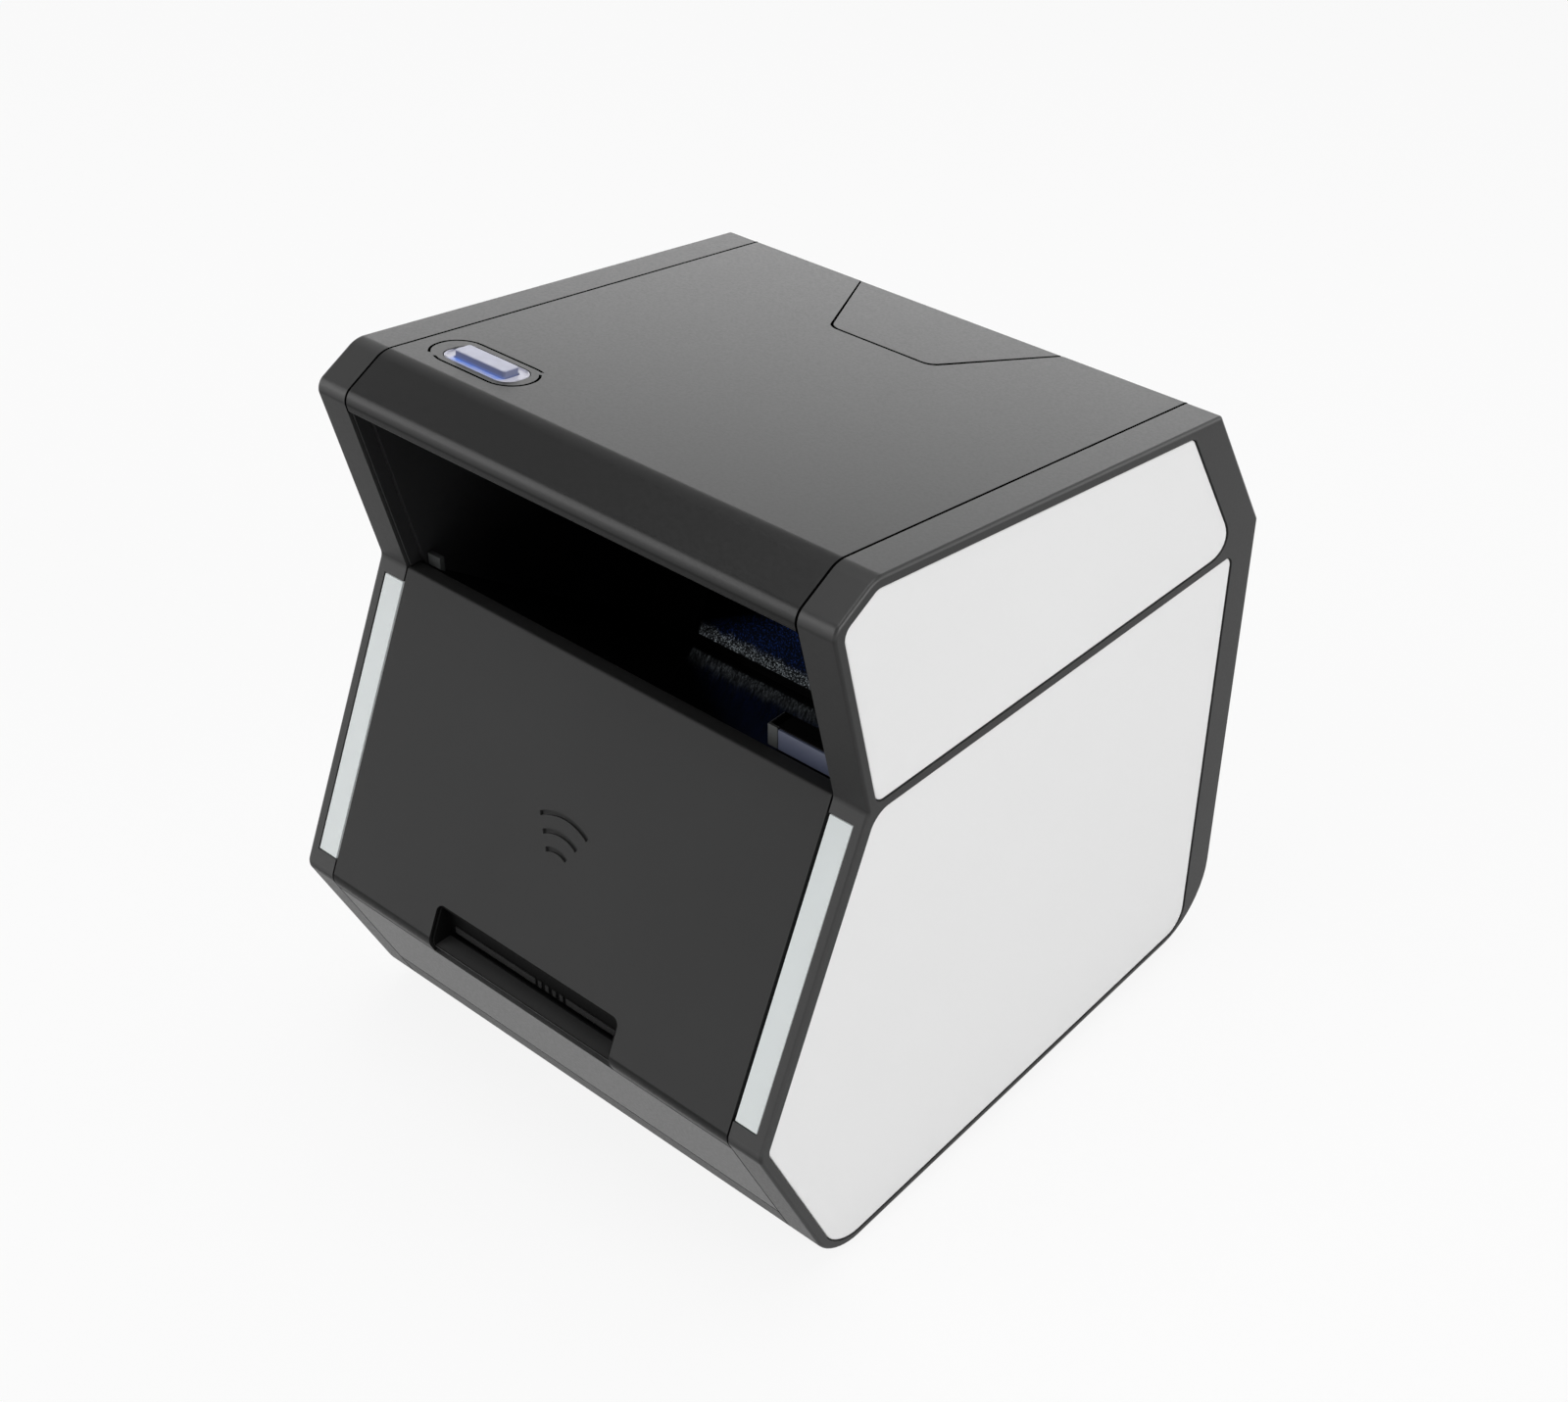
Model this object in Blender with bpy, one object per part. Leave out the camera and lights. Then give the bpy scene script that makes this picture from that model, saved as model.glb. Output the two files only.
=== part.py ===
"""Desktop receipt printer with a hooded document bay, built as separate pieces in metres, +Z up.

The case is one side outline, drawn in depth (y) and height (z) and carried along X. Depths run
back from the plinth and heights run up from a level just above the case bottom, which falls a
little towards the front. The front faces -Y, and the model stands level on its feet at z = 0,
centred on X and on its depth.
"""

from math import atan2, cos, pi, sin

import bmesh
import bpy
from mathutils import Vector

# Case outline, seen from the side
WIDTH = 0.160
BASE_DEPTH = 0.1704
PANEL_REACH = 0.0232
PANEL_FOOT_HEIGHT = 0.0506
NOTCH_DEPTH = 0.0131
NOTCH_HEIGHT = 0.1299
NOSE_HEIGHT = 0.1833
HOOD_DEPTH = 0.0134
HOOD_HEIGHT = 0.1904
TOP_REAR_DEPTH = 0.1453
TOP_REAR_HEIGHT = 0.1722
SHOULDER_HEIGHT = 0.1322
BASE_FRONT_DROP = 0.0064
BASE_REAR_DROP = 0.0017
BASE_FRONT_RADIUS = 0.0159
BASE_REAR_RADIUS = 0.020
SHOULDER_RADIUS = 0.001
NOSE_RADIUS = 0.005
NOTCH_RADIUS = 0.003
PANEL_RADIUS = 0.004

# Walls and fits
CLEAR = 0.0003
SHELL = 0.0025
PANEL_WALL = 0.0039
FOOT_LIFT = 0.0071

# Side frames and their inlay panels
RIM_WIDTH = 0.010
RIM_WALL = 0.003
SIDE_WALL = 0.004
RIM_FILLET = 0.0015
INLAY_THICK = 0.0012
INLAY_SINK = 0.0003
INLAY_MARGIN = 0.003
INLAY_FOOT_MARGIN = 0.002
INLAY_REAR_MARGIN = 0.0108
INLAY_RADIUS = 0.003
INLAY_FOOT_RADIUS = 0.013
INLAY_HEEL_RADIUS = 0.007
RIB_WIDTH = 0.0027
RIB_DROP = 0.003

# Light strips in the rims
STRIP_WIDTH = 0.0068
STRIP_TOP_GAP = 0.0043
STRIP_FOOT_GAP = 0.0057
STRIP_SINK = 0.0002
LIGHT_BOARD = 0.0012
LIGHT_BOARD_LAP = 0.002

# Hood lip, front panel, plinth and base
LIP_LENGTH = 0.0048
PANEL_WRAP = 0.0046
PLINTH_LENGTH = 0.0464
BASE_REAR_HEIGHT = 0.019
TRAY_FOOT_RADIUS = 0.0035
TRAY_HEEL_RADIUS = 0.0125
RECESS_WIDTH = 0.0624
RECESS_HEIGHT = 0.0112
RECESS_DEPTH = 0.0077
CHUTE_WALL = 0.0011
SLOT_HEIGHT = 0.002
SLOT_WIDTH = 0.058
MARK_CENTRE = 0.0533
MARK_RADII = (0.0157, 0.0112, 0.0068)
MARK_HALF_ANGLE = 0.54
MARK_LINE = 0.0012
MARK_DEPTH = 0.0005

# Document bay
BAY_BACK_DEPTH = 0.095
BAY_BACK_HEIGHT = 0.0744
BAY_TOP_DEPTH = 0.1282
CEILING_DROP = 0.0109
LINER = 0.002
GLASS = 0.0024
GLASS_SINK = 0.0008
GLASS_LEDGE = 0.006
WINDOW_WIDTH = 0.098
WINDOW_HEIGHT = 0.028
WINDOW_LIFT = 0.0025
LIGHT_BAR_LAP = 0.004
LIGHT_BLOCK_WIDTH = 0.021
LIGHT_BLOCK_LENGTH = 0.006
LIGHT_BLOCK_RISE = 0.0055
TAB_WIDTH = 0.0045
TAB_LENGTH = 0.0016
TAB_RISE = 0.003

# Power button
BUTTON_EDGE = 0.0208
BUTTON_SETBACK = 0.0136
BUTTON_LENGTH = 0.017
BUTTON_WIDTH = 0.0049
BUTTON_PROUD = 0.0015
BUTTON_TRAVEL = 0.0012
BUTTON_FLANGE = 0.001
BEZEL_LENGTH = 0.023
BEZEL_WIDTH = 0.0098
BEZEL_RADIUS = 0.0038
BEZEL_WALL = 0.0008
BEZEL_SINK = 0.00115
BEZEL_FLANGE = 0.0012
GROOVE_LENGTH = 0.0305
GROOVE_WIDTH = 0.0142
GROOVE_RADIUS = 0.0068
GROOVE_STEP = 0.0006
GROOVE_LINE = 0.0005
GROOVE_DEPTH = 0.0006
GROOVE_GAP = 0.0012
SWITCH_BOARD = 0.0012

# Paper door at the rear
DOOR_WIDTH = 0.0648
DOOR_FOOT_HEIGHT = 0.044
TONGUE_LENGTH = 0.0326
TONGUE_WIDTH = 0.0314
BARREL_RADIUS = 0.002
HINGE_PIN_RADIUS = 0.0009
HINGE_LUG = 0.0045
CATCH_WIDTH = 0.020
CATCH_LENGTH = 0.012
CATCH_THICK = 0.0015

# Print mechanism
CHASSIS_WIDTH = 0.072
CHASSIS_SHEET = 0.002
CHASSIS_FRONT = -0.008
CHASSIS_FOOT = 0.004
CHASSIS_REAR = 0.044
CHASSIS_HEIGHT = 0.064
PAPER_WIDTH = 0.057
PAPER_HEIGHT = 0.051
PLATEN_DEPTH = 0.018
PLATEN_RADIUS = 0.0055
PLATEN_SHAFT_RADIUS = 0.002
GEAR_MODULE = 0.0008
GEAR_WIDTH = 0.004
GEAR_BACKLASH = 0.00026
PLATEN_TEETH = 24
IDLER_TEETH = 20
PINION_TEETH = 12
IDLER_BEARING = -0.87
PINION_BEARING = -1.57
IDLER_PIN_RADIUS = 0.0015
MOTOR_RADIUS = 0.010
MOTOR_LENGTH = 0.022
MOTOR_SHAFT_RADIUS = 0.0012
HEAD_FRONT = 0.012
HEAD_THICK = 0.003
HEAD_PIVOT_DEPTH = 0.038
HEAD_PIVOT_RISE = 0.0065
HEAD_ROD_RADIUS = 0.0013
CUTTER_DEPTH = -0.0055
BLADE_THICK = 0.001
BLADE_HEIGHT = 0.012
CUTTER_TRAVEL = 0.004

# Paper roll
ROLL_DEPTH = 0.133
ROLL_HEIGHT = 0.062
ROLL_RADIUS = 0.025
CORE_RADIUS = 0.008
CORE_WALL = 0.0015
SPINDLE_RADIUS = 0.0062
BRACKET_SHEET = 0.002
BRACKET_LENGTH = 0.026
BRACKET_RISE = 0.008

# Boards, camera and sockets
BOARD = 0.0016
BOARD_EDGE = 0.0097
BOARD_POST_RADIUS = 0.003
MAIN_BOARD_FRONT = 0.052
MAIN_BOARD_LENGTH = 0.056
MAIN_BOARD_HEIGHT = 0.008
PORT_BOARD_LENGTH = 0.017
PORT_BOARD_HEIGHT = 0.0205
CAMERA_SIZE = 0.024
CAMERA_HEIGHT = 0.014
LENS_RADIUS = 0.007
LENS_LENGTH = 0.008
ANTENNA_WIDTH = 0.060
ANTENNA_LENGTH = 0.044
ANTENNA_TOP = 0.020
SOCKET_LENGTH = 0.016
SOCKET_SINK = 0.0005
SOCKET_EDGE = 0.010
SOCKET_GAP = 0.0098
NETWORK_WIDTH = 0.016
NETWORK_HEIGHT = 0.0135
PLUG_WIDTH = 0.0118
PLUG_HEIGHT = 0.0084
PLUG_DEPTH = 0.012
DATA_WIDTH = 0.0124
DATA_HEIGHT = 0.0112
DATA_SLOT_WIDTH = 0.0086
DATA_SLOT_HEIGHT = 0.0034
POWER_WIDTH = 0.011
POWER_BORE = 0.0032
POWER_PIN = 0.001

# Feet and screws
FOOT_RADIUS = 0.006
FOOT_SINK = 0.001
FOOT_EDGE = 0.0137
FOOT_FRONT_GAP = 0.022
FOOT_REAR_GAP = 0.0224
SCREW_HEAD_RADIUS = 0.0028
SCREW_HEAD = 0.0011
SCREW_RADIUS = 0.0012
SCREW_X = 0.026
SCREW_DEPTH = 0.0085

ARC_STEPS = 5
ROUND_STEPS = 24

INNER = WIDTH / 2 - RIM_WIDTH
COVER_HALF = INNER - CLEAR
BUTTON_X = BUTTON_EDGE - COVER_HALF
BOARD_HALF = COVER_HALF - BOARD_EDGE
NETWORK_X = SOCKET_EDGE - BOARD_HALF
DATA_X = NETWORK_X + NETWORK_WIDTH / 2 + SOCKET_GAP + DATA_WIDTH / 2
POWER_X = BOARD_HALF - SOCKET_EDGE


# Points of the side view

def point(depth, height):
    """Return a side view point."""
    return Vector((depth, height))


def toward(start, end, distance):
    """Return the point at a distance from start in the direction of end."""
    return start + (end - start).normalized() * distance


def inward(start, end):
    """Return the unit vector to the left of an edge, which is the inside of a case edge."""
    run = (end - start).normalized()
    return Vector((-run.y, run.x))


def meet(a, b, c, d):
    """Return the crossing point of the lines a-b and c-d."""
    run, other = b - a, d - c
    share = (other.y * (c.x - a.x) - other.x * (c.y - a.y)) / (run.x * other.y - run.y * other.x)
    return a + run * share


def inset(corners, margins):
    """Move each edge of a closed outline inwards by its own margin and return the new corners."""
    count = len(corners)
    edges = []
    for i in range(count):
        shift = inward(corners[i], corners[(i + 1) % count]) * margins[i]
        edges.append((corners[i] + shift, corners[(i + 1) % count] + shift))
    return [meet(*edges[i - 1], *edges[i]) for i in range(count)]


def rounded(corners, radii, steps=ARC_STEPS):
    """Replace each corner by an arc of its radius."""
    outline = []
    count = len(corners)
    for i in range(count):
        corner, before, after = corners[i], corners[i - 1], corners[(i + 1) % count]
        if radii[i] <= 0:
            outline.append(corner)
            continue
        first, last = (before - corner).normalized(), (after - corner).normalized()
        half = first.angle(last) / 2
        bisector = (first + last).normalized()
        centre = corner + bisector * (radii[i] / sin(half))
        spread = pi / 2 - half
        side = 1 if first.x * last.y - first.y * last.x > 0 else -1
        facing = atan2(-bisector.y, -bisector.x)
        for k in range(steps + 1):
            angle = facing + side * spread * (1 - 2 * k / steps)
            outline.append(centre + Vector((cos(angle), sin(angle))) * radii[i])
    return outline


def circle(centre, radius, steps=ROUND_STEPS):
    """Return a round outline."""
    turns = [2 * pi * k / steps for k in range(steps)]
    return [centre + Vector((cos(turn), sin(turn))) * radius for turn in turns]


def rectangle(left, right, low, high):
    """Return a four-cornered outline."""
    return [Vector((left, low)), Vector((right, low)), Vector((right, high)), Vector((left, high))]


BASE_FRONT = point(BASE_FRONT_DROP * PANEL_REACH / PANEL_FOOT_HEIGHT, -BASE_FRONT_DROP)
BASE_REAR = point(BASE_DEPTH, -BASE_REAR_DROP)
SHOULDER = point(BASE_DEPTH, SHOULDER_HEIGHT)
TOP_REAR = point(TOP_REAR_DEPTH, TOP_REAR_HEIGHT)
HOOD = point(HOOD_DEPTH, HOOD_HEIGHT)
NOSE = point(0, NOSE_HEIGHT)
NOTCH = point(NOTCH_DEPTH, NOTCH_HEIGHT)
PANEL_FOOT = point(-PANEL_REACH, PANEL_FOOT_HEIGHT)
CASE = [BASE_FRONT, BASE_REAR, SHOULDER, TOP_REAR, HOOD, NOSE, NOTCH, PANEL_FOOT]
CASE_RADII = [BASE_FRONT_RADIUS, BASE_REAR_RADIUS, SHOULDER_RADIUS, SHOULDER_RADIUS,
              NOSE_RADIUS, NOSE_RADIUS, NOTCH_RADIUS, PANEL_RADIUS]
SHELL_CORNERS = inset(CASE, [SHELL] * len(CASE))
FRONT_EDGE = min(corner.x for corner in rounded(CASE, CASE_RADII))
CASE_CENTRE = (FRONT_EDGE + BASE_DEPTH) / 2


def inner_radius(radius, wall):
    """Return the radius inside a rounded wall."""
    return max(radius - wall, CLEAR)


# Meshes

def linear(channel):
    """Turn one sRGB channel, 0 to 1, into linear light."""
    return channel / 12.92 if channel <= 0.04045 else ((channel + 0.055) / 1.055) ** 2.4


def finish(name, colour, rough, metal=0.0):
    """Make a Principled material from an sRGB hex colour."""
    material = bpy.data.materials.new(name)
    material.use_nodes = True
    shader = material.node_tree.nodes["Principled BSDF"]
    channels = [linear(int(colour[k:k + 2], 16) / 255) for k in (0, 2, 4)]
    shader.inputs["Base Color"].default_value = (*channels, 1.0)
    shader.inputs["Roughness"].default_value = rough
    shader.inputs["Metallic"].default_value = metal
    return material


def settle(name, mesh, material, pivot=None):
    """Turn a bmesh in case coordinates into an object, with its origin at the pivot."""
    bmesh.ops.recalc_face_normals(mesh, faces=mesh.faces)
    place = Vector((0, 0, 0)) if pivot is None else Vector(pivot)
    bmesh.ops.translate(mesh, verts=mesh.verts, vec=-place)
    data = bpy.data.meshes.new(name)
    mesh.to_mesh(data)
    mesh.free()
    piece = bpy.data.objects.new(name, data)
    bpy.context.collection.objects.link(piece)
    piece.parent = CASE_ORIGIN
    piece.location = place
    if material is None:
        piece.hide_render = True
        piece.display_type = "WIRE"
    else:
        data.materials.append(material)
    return piece


def loft(rings):
    """Bridge rings of equal length into a closed bmesh, capped at both ends."""
    mesh = bmesh.new()
    loops = [[mesh.verts.new(corner) for corner in ring] for ring in rings]
    count = len(loops[0])
    for low, high in zip(loops, loops[1:]):
        for i in range(count):
            j = (i + 1) % count
            mesh.faces.new((low[i], low[j], high[j], high[i]))
    mesh.faces.new(list(reversed(loops[0])))
    mesh.faces.new(loops[-1])
    return mesh


def across(name, outline, left, right, material=None, pivot=None):
    """Carry a side view outline along X."""
    rings = [[Vector((x, corner.x, corner.y)) for corner in outline] for x in (left, right)]
    return settle(name, loft(rings), material, pivot)


def upright(name, centre, radius, low, high, material=None, steps=ROUND_STEPS):
    """Make a round post along Z, with its centre given in X and depth."""
    outline = circle(Vector(centre), radius, steps)
    rings = [[Vector((corner.x, corner.y, z)) for corner in outline] for z in (low, high)]
    return settle(name, loft(rings), material)


def tube(name, centre, outer, bore, start, end, material=None, pivot=None, back=False):
    """Make a round sleeve along X, or along the depth with its centre given in X and height."""
    mesh = bmesh.new()
    loops = []
    for radius, way in ((outer, start), (outer, end), (bore, end), (bore, start)):
        ring = circle(centre, radius)
        places = [(c.x, way, c.y) if back else (way, c.x, c.y) for c in ring]
        loops.append([mesh.verts.new(place) for place in places])
    for low, high in zip(loops, loops[1:] + loops[:1]):
        for i in range(ROUND_STEPS):
            j = (i + 1) % ROUND_STEPS
            mesh.faces.new((low[i], low[j], high[j], high[i]))
    return settle(name, mesh, material, pivot)


def on_face(start, end, outline, shallow, deep):
    """Carry an outline, in X and distance from start, into the case through a flat face."""
    run, depth = (end - start).normalized(), inward(start, end)
    rings = []
    for sunk in (shallow, deep):
        places = [(corner.x, start + run * corner.y + depth * sunk) for corner in outline]
        rings.append([Vector((x, place.x, place.y)) for x, place in places])
    return loft(rings)


def cut(piece, cutter):
    """Take the cutter's volume out of a piece."""
    change = piece.modifiers.new(cutter.name, "BOOLEAN")
    change.operation = "DIFFERENCE"
    change.solver = "EXACT"
    change.object = cutter


def fuse(piece, addition):
    """Add the volume of another shape to a piece."""
    change = piece.modifiers.new(addition.name, "BOOLEAN")
    change.operation = "UNION"
    change.solver = "EXACT"
    change.object = addition


# Case pieces

def inlay_corners():
    """Return the corners and radii of the upper and lower inlay panels."""
    margins = [INLAY_FOOT_MARGIN, INLAY_REAR_MARGIN, INLAY_REAR_MARGIN] + [INLAY_MARGIN] * 5
    foot, heel, shoulder, rear, hood, nose, notch, toe = inset(CASE, margins)
    half = Vector((0, RIB_WIDTH / 2))
    rib_front, rib_rear = NOTCH, point(BASE_DEPTH, NOTCH_HEIGHT - RIB_DROP)
    above = (rib_front + half, rib_rear + half)
    below = (rib_front - half, rib_rear - half)
    upper = [meet(*above, nose, notch), meet(*above, rear, shoulder), rear, hood, nose]
    lower = [foot, heel, meet(*below, heel, shoulder), meet(*below, notch, toe), toe]
    small = INLAY_RADIUS
    return {"upper": (upper, [small, 2 * small, small, small, small]),
            "lower": (lower, [INLAY_FOOT_RADIUS, INLAY_HEEL_RADIUS, small, 2 * small, small])}


def side_frame(side, sign):
    """Make one side frame: a rim round the outline and a pocketed wall."""
    rings = []
    for x, margin in ((INNER, 0), (WIDTH / 2 - RIM_FILLET, 0),
                      (WIDTH / 2 - RIM_FILLET * 0.3, RIM_FILLET * 0.3), (WIDTH / 2, RIM_FILLET)):
        corners = inset(CASE, [margin] * len(CASE))
        radii = [inner_radius(radius, margin) for radius in CASE_RADII]
        radii[CASE.index(NOTCH)] = NOTCH_RADIUS + margin
        rings.append([Vector((sign * x, c.x, c.y)) for c in rounded(corners, radii)])
    frame = settle(f"{side}_side_frame", loft(rings), RIM_PLASTIC)
    hollow = inset(CASE, [RIM_WALL] * len(CASE))
    outline = rounded(hollow, [inner_radius(radius, RIM_WALL) for radius in CASE_RADII])
    cut(frame, across(f"{side}_frame_hollow", outline, sign * (INNER - CLEAR),
                      sign * (WIDTH / 2 - SIDE_WALL)))
    pocket = WIDTH / 2 - INLAY_SINK - INLAY_THICK - CLEAR
    for level, (corners, radii) in inlay_corners().items():
        wide = inset(corners, [-CLEAR] * len(corners))
        outline = rounded(wide, [radius + CLEAR for radius in radii])
        cut(frame, across(f"{side}_{level}_pocket", outline, sign * pocket, sign * WIDTH))
        across(f"{side}_{level}_inlay", rounded(corners, radii), sign * (pocket + CLEAR),
               sign * (WIDTH / 2 - INLAY_SINK), INLAY_PLASTIC)
    return frame


def light_strip(side, sign, frame):
    """Set a light strip and its board into the rim beside the front panel."""
    top, foot = STRIP_TOP_GAP, (PANEL_FOOT - NOTCH).length - STRIP_FOOT_GAP
    near, far = sign * (INNER + CLEAR), sign * (INNER + STRIP_WIDTH)
    slot = rectangle(sign * (INNER - CLEAR), far + sign * CLEAR, top - CLEAR, foot + CLEAR)
    cutter = on_face(NOTCH, PANEL_FOOT, slot, -RIM_WALL, RIM_WALL + CLEAR)
    cut(frame, settle(f"{side}_strip_slot", cutter, None))
    strip = on_face(NOTCH, PANEL_FOOT, rectangle(near, far, top, foot), STRIP_SINK, RIM_WALL)
    settle(f"{side}_light_strip", strip, STRIP_PLASTIC)
    board_far = sign * (WIDTH / 2 - SIDE_WALL - CLEAR)
    board = rectangle(near, board_far, top - LIGHT_BOARD_LAP, foot + LIGHT_BOARD_LAP)
    back = RIM_WALL + CLEAR
    settle(f"{side}_light_board",
           on_face(NOTCH, PANEL_FOOT, board, back, back + LIGHT_BOARD), BOARD_GREEN)


def shell_outline(outer, inner, radii, wall):
    """Close a run of outer corners with its inner corners; radii belong to the outer ones."""
    inside = [inner_radius(radius, wall) if radius > 0 else 0 for radius in radii]
    return rounded(outer + inner[::-1], radii + inside[::-1])


def mitre(corner, inner_corner, away, inner_away):
    """Return the two ends of a cover that stops half a gap before a case corner."""
    return toward(corner, away, CLEAR * 0.6), toward(inner_corner, inner_away, CLEAR * 0.6)


def top_cover():
    """Make the top cover with its hood lip, button hole, groove and door cut-out."""
    foot, heel, shoulder, rear, hood, nose, notch, toe = SHELL_CORNERS
    outer_rear, inner_rear = mitre(TOP_REAR, rear, HOOD, hood)
    lip = toward(NOSE, NOTCH, LIP_LENGTH)
    inner_lip = lip + inward(NOSE, NOTCH) * SHELL
    outline = shell_outline([outer_rear, HOOD, NOSE, lip], [inner_rear, hood, nose, inner_lip],
                            [0, NOSE_RADIUS, NOSE_RADIUS, SHELL * 0.3], SHELL)
    cover = across("top_cover", outline, -COVER_HALF, COVER_HALF, TOP_PLASTIC)
    cut(cover, settle("tongue_cut", on_face(TOP_REAR, HOOD, tongue(CLEAR), -SHELL, 2 * SHELL), None))
    hole = button_outline(BEZEL_LENGTH + 2 * CLEAR, BEZEL_WIDTH + 2 * CLEAR, BEZEL_RADIUS + CLEAR)
    cut(cover, settle("bezel_hole", top_plate(hole, -SHELL, 2 * SHELL), None))
    for number, outline in enumerate(groove_halves()):
        cutter = settle(f"groove_cut_{number}", top_plate(outline, -GROOVE_DEPTH, GROOVE_DEPTH), None)
        cut(cover, cutter)
    for end in (-1, 1):
        fuse(cover, switch_post(end))
    return cover


def tongue(spare):
    """Return the door tongue's trapezoid in X and distance forward of the top's rear edge."""
    rear, front = DOOR_WIDTH / 2 + spare, TONGUE_WIDTH / 2 + spare
    behind = SHELL * 2
    return [Vector((-rear, -behind)), Vector((rear, -behind)), Vector((rear, 0)),
            Vector((front, TONGUE_LENGTH + spare)), Vector((-front, TONGUE_LENGTH + spare)),
            Vector((-rear, 0))]


def top_plate(outline, shallow, deep):
    """Carry an outline, in X and distance behind the hood edge, down into the top."""
    flipped = [Vector((corner.x, -corner.y)) for corner in outline]
    return on_face(HOOD, HOOD + (HOOD - TOP_REAR), flipped, shallow, deep)


def button_outline(length, width, radius):
    """Return a rounded plate outline centred on the power button."""
    corners = rectangle(BUTTON_X - length / 2, BUTTON_X + length / 2,
                        BUTTON_SETBACK - width / 2, BUTTON_SETBACK + width / 2)
    return rounded(corners, [radius] * 4)


def groove_halves():
    """Return the two thin bands of the groove round the bezel, the rear one a step longer."""
    straight_y = GROOVE_WIDTH / 2 - GROOVE_RADIUS
    middle = Vector((BUTTON_X, BUTTON_SETBACK))
    gap = GROOVE_GAP / GROOVE_RADIUS / 2
    sweep = pi / 2 - gap
    halves = []
    for sign in (1, -1):
        straight_x = GROOVE_LENGTH / 2 + sign * GROOVE_STEP - GROOVE_RADIUS
        bands = []
        for radius in (GROOVE_RADIUS + GROOVE_LINE / 2, GROOVE_RADIUS - GROOVE_LINE / 2):
            band = []
            for corner_x, corner_y, start, turn in (
                    (-straight_x, straight_y, pi - gap, -sweep + gap / 2),
                    (straight_x, straight_y, pi / 2, -sweep + gap / 2)):
                for k in range(ARC_STEPS + 1):
                    angle = start + turn * k / ARC_STEPS
                    band.append(Vector((corner_x + radius * cos(angle), corner_y + radius * sin(angle))))
            bands.append(band)
        loop = bands[0] + bands[1][::-1]
        halves.append([middle + corner * sign for corner in loop])
    return halves


def switch_post(end):
    """Return one of the two posts under the top cover that carry the switch board."""
    reach = BEZEL_LENGTH / 2 + BEZEL_FLANGE + 3 * CLEAR
    near, far = BUTTON_X + end * reach, BUTTON_X + end * (reach + SHELL)
    outline = rectangle(min(near, far), max(near, far),
                        BUTTON_SETBACK - BUTTON_WIDTH / 2, BUTTON_SETBACK + BUTTON_WIDTH / 2)
    name = "left_switch_post" if end < 0 else "right_switch_post"
    return settle(name, top_plate(outline, SHELL / 2, switch_depth() - CLEAR), None)


def switch_depth():
    """Return how far the switch board's top lies under the top surface."""
    return button_foot() + BUTTON_TRAVEL + CLEAR


def button_foot():
    """Return how far the button's foot lies under the top surface."""
    return bezel_foot() + CLEAR + BUTTON_FLANGE


def bezel_foot():
    """Return how far the bezel's flange reaches under the top surface."""
    return SHELL + CLEAR + BEZEL_FLANGE


def power_button():
    """Make the bezel, the sliding button bar and the switch board."""
    outer = button_outline(BEZEL_LENGTH, BEZEL_WIDTH, BEZEL_RADIUS)
    bezel = settle("button_bezel", top_plate(outer, 0, bezel_foot()), BEZEL_PLASTIC)
    wide = button_outline(BEZEL_LENGTH + 2 * BEZEL_FLANGE, BEZEL_WIDTH + 2 * BEZEL_FLANGE,
                          BEZEL_RADIUS + BEZEL_FLANGE)
    flange = top_plate(wide, bezel_foot() - BEZEL_FLANGE, bezel_foot())
    fuse(bezel, settle("bezel_flange", flange, None))
    dish = button_outline(BEZEL_LENGTH - 2 * BEZEL_WALL, BEZEL_WIDTH - 2 * BEZEL_WALL,
                          BEZEL_RADIUS - BEZEL_WALL)
    cut(bezel, settle("bezel_dish", top_plate(dish, -SHELL, BEZEL_SINK), None))
    corner = BUTTON_WIDTH * 0.2
    slot = button_outline(BUTTON_LENGTH + 2 * CLEAR, BUTTON_WIDTH + 2 * CLEAR, corner + CLEAR)
    cut(bezel, settle("button_slot", top_plate(slot, 0, bezel_foot() + SHELL), None))
    face = HOOD + (TOP_REAR - HOOD).normalized() * BUTTON_SETBACK
    pivot = (BUTTON_X, face.x, face.y)
    bar = button_outline(BUTTON_LENGTH, BUTTON_WIDTH, corner)
    button = settle("power_button", top_plate(bar, -BUTTON_PROUD, button_foot()), BUTTON_PLASTIC, pivot)
    foot = button_outline(BUTTON_LENGTH + 2 * BUTTON_FLANGE, BUTTON_WIDTH + 2 * BUTTON_FLANGE,
                          corner + BUTTON_FLANGE)
    flange = top_plate(foot, button_foot() - BUTTON_FLANGE, button_foot())
    fuse(button, settle("button_flange", flange, None))
    board_length = BEZEL_LENGTH + 2 * (BEZEL_FLANGE + 3 * CLEAR + SHELL)
    board = button_outline(board_length, BEZEL_WIDTH, BUTTON_FLANGE)
    settle("switch_board", top_plate(board, switch_depth(), switch_depth() + SWITCH_BOARD), BOARD_GREEN)


def panel_corners():
    """Return the outer and inner corners of the front panel."""
    foot, heel, shoulder, rear, hood, nose, notch, toe = inset(CASE, [PANEL_WALL] * len(CASE))
    wrap = toward(PANEL_FOOT, BASE_FRONT, PANEL_WRAP)
    inner_wrap = wrap + inward(PANEL_FOOT, BASE_FRONT) * PANEL_WALL
    top = meet(notch, toe, NOTCH, NOTCH + Vector((1, 0)))
    return [NOTCH, PANEL_FOOT, wrap], [top, toe, inner_wrap]


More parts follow.
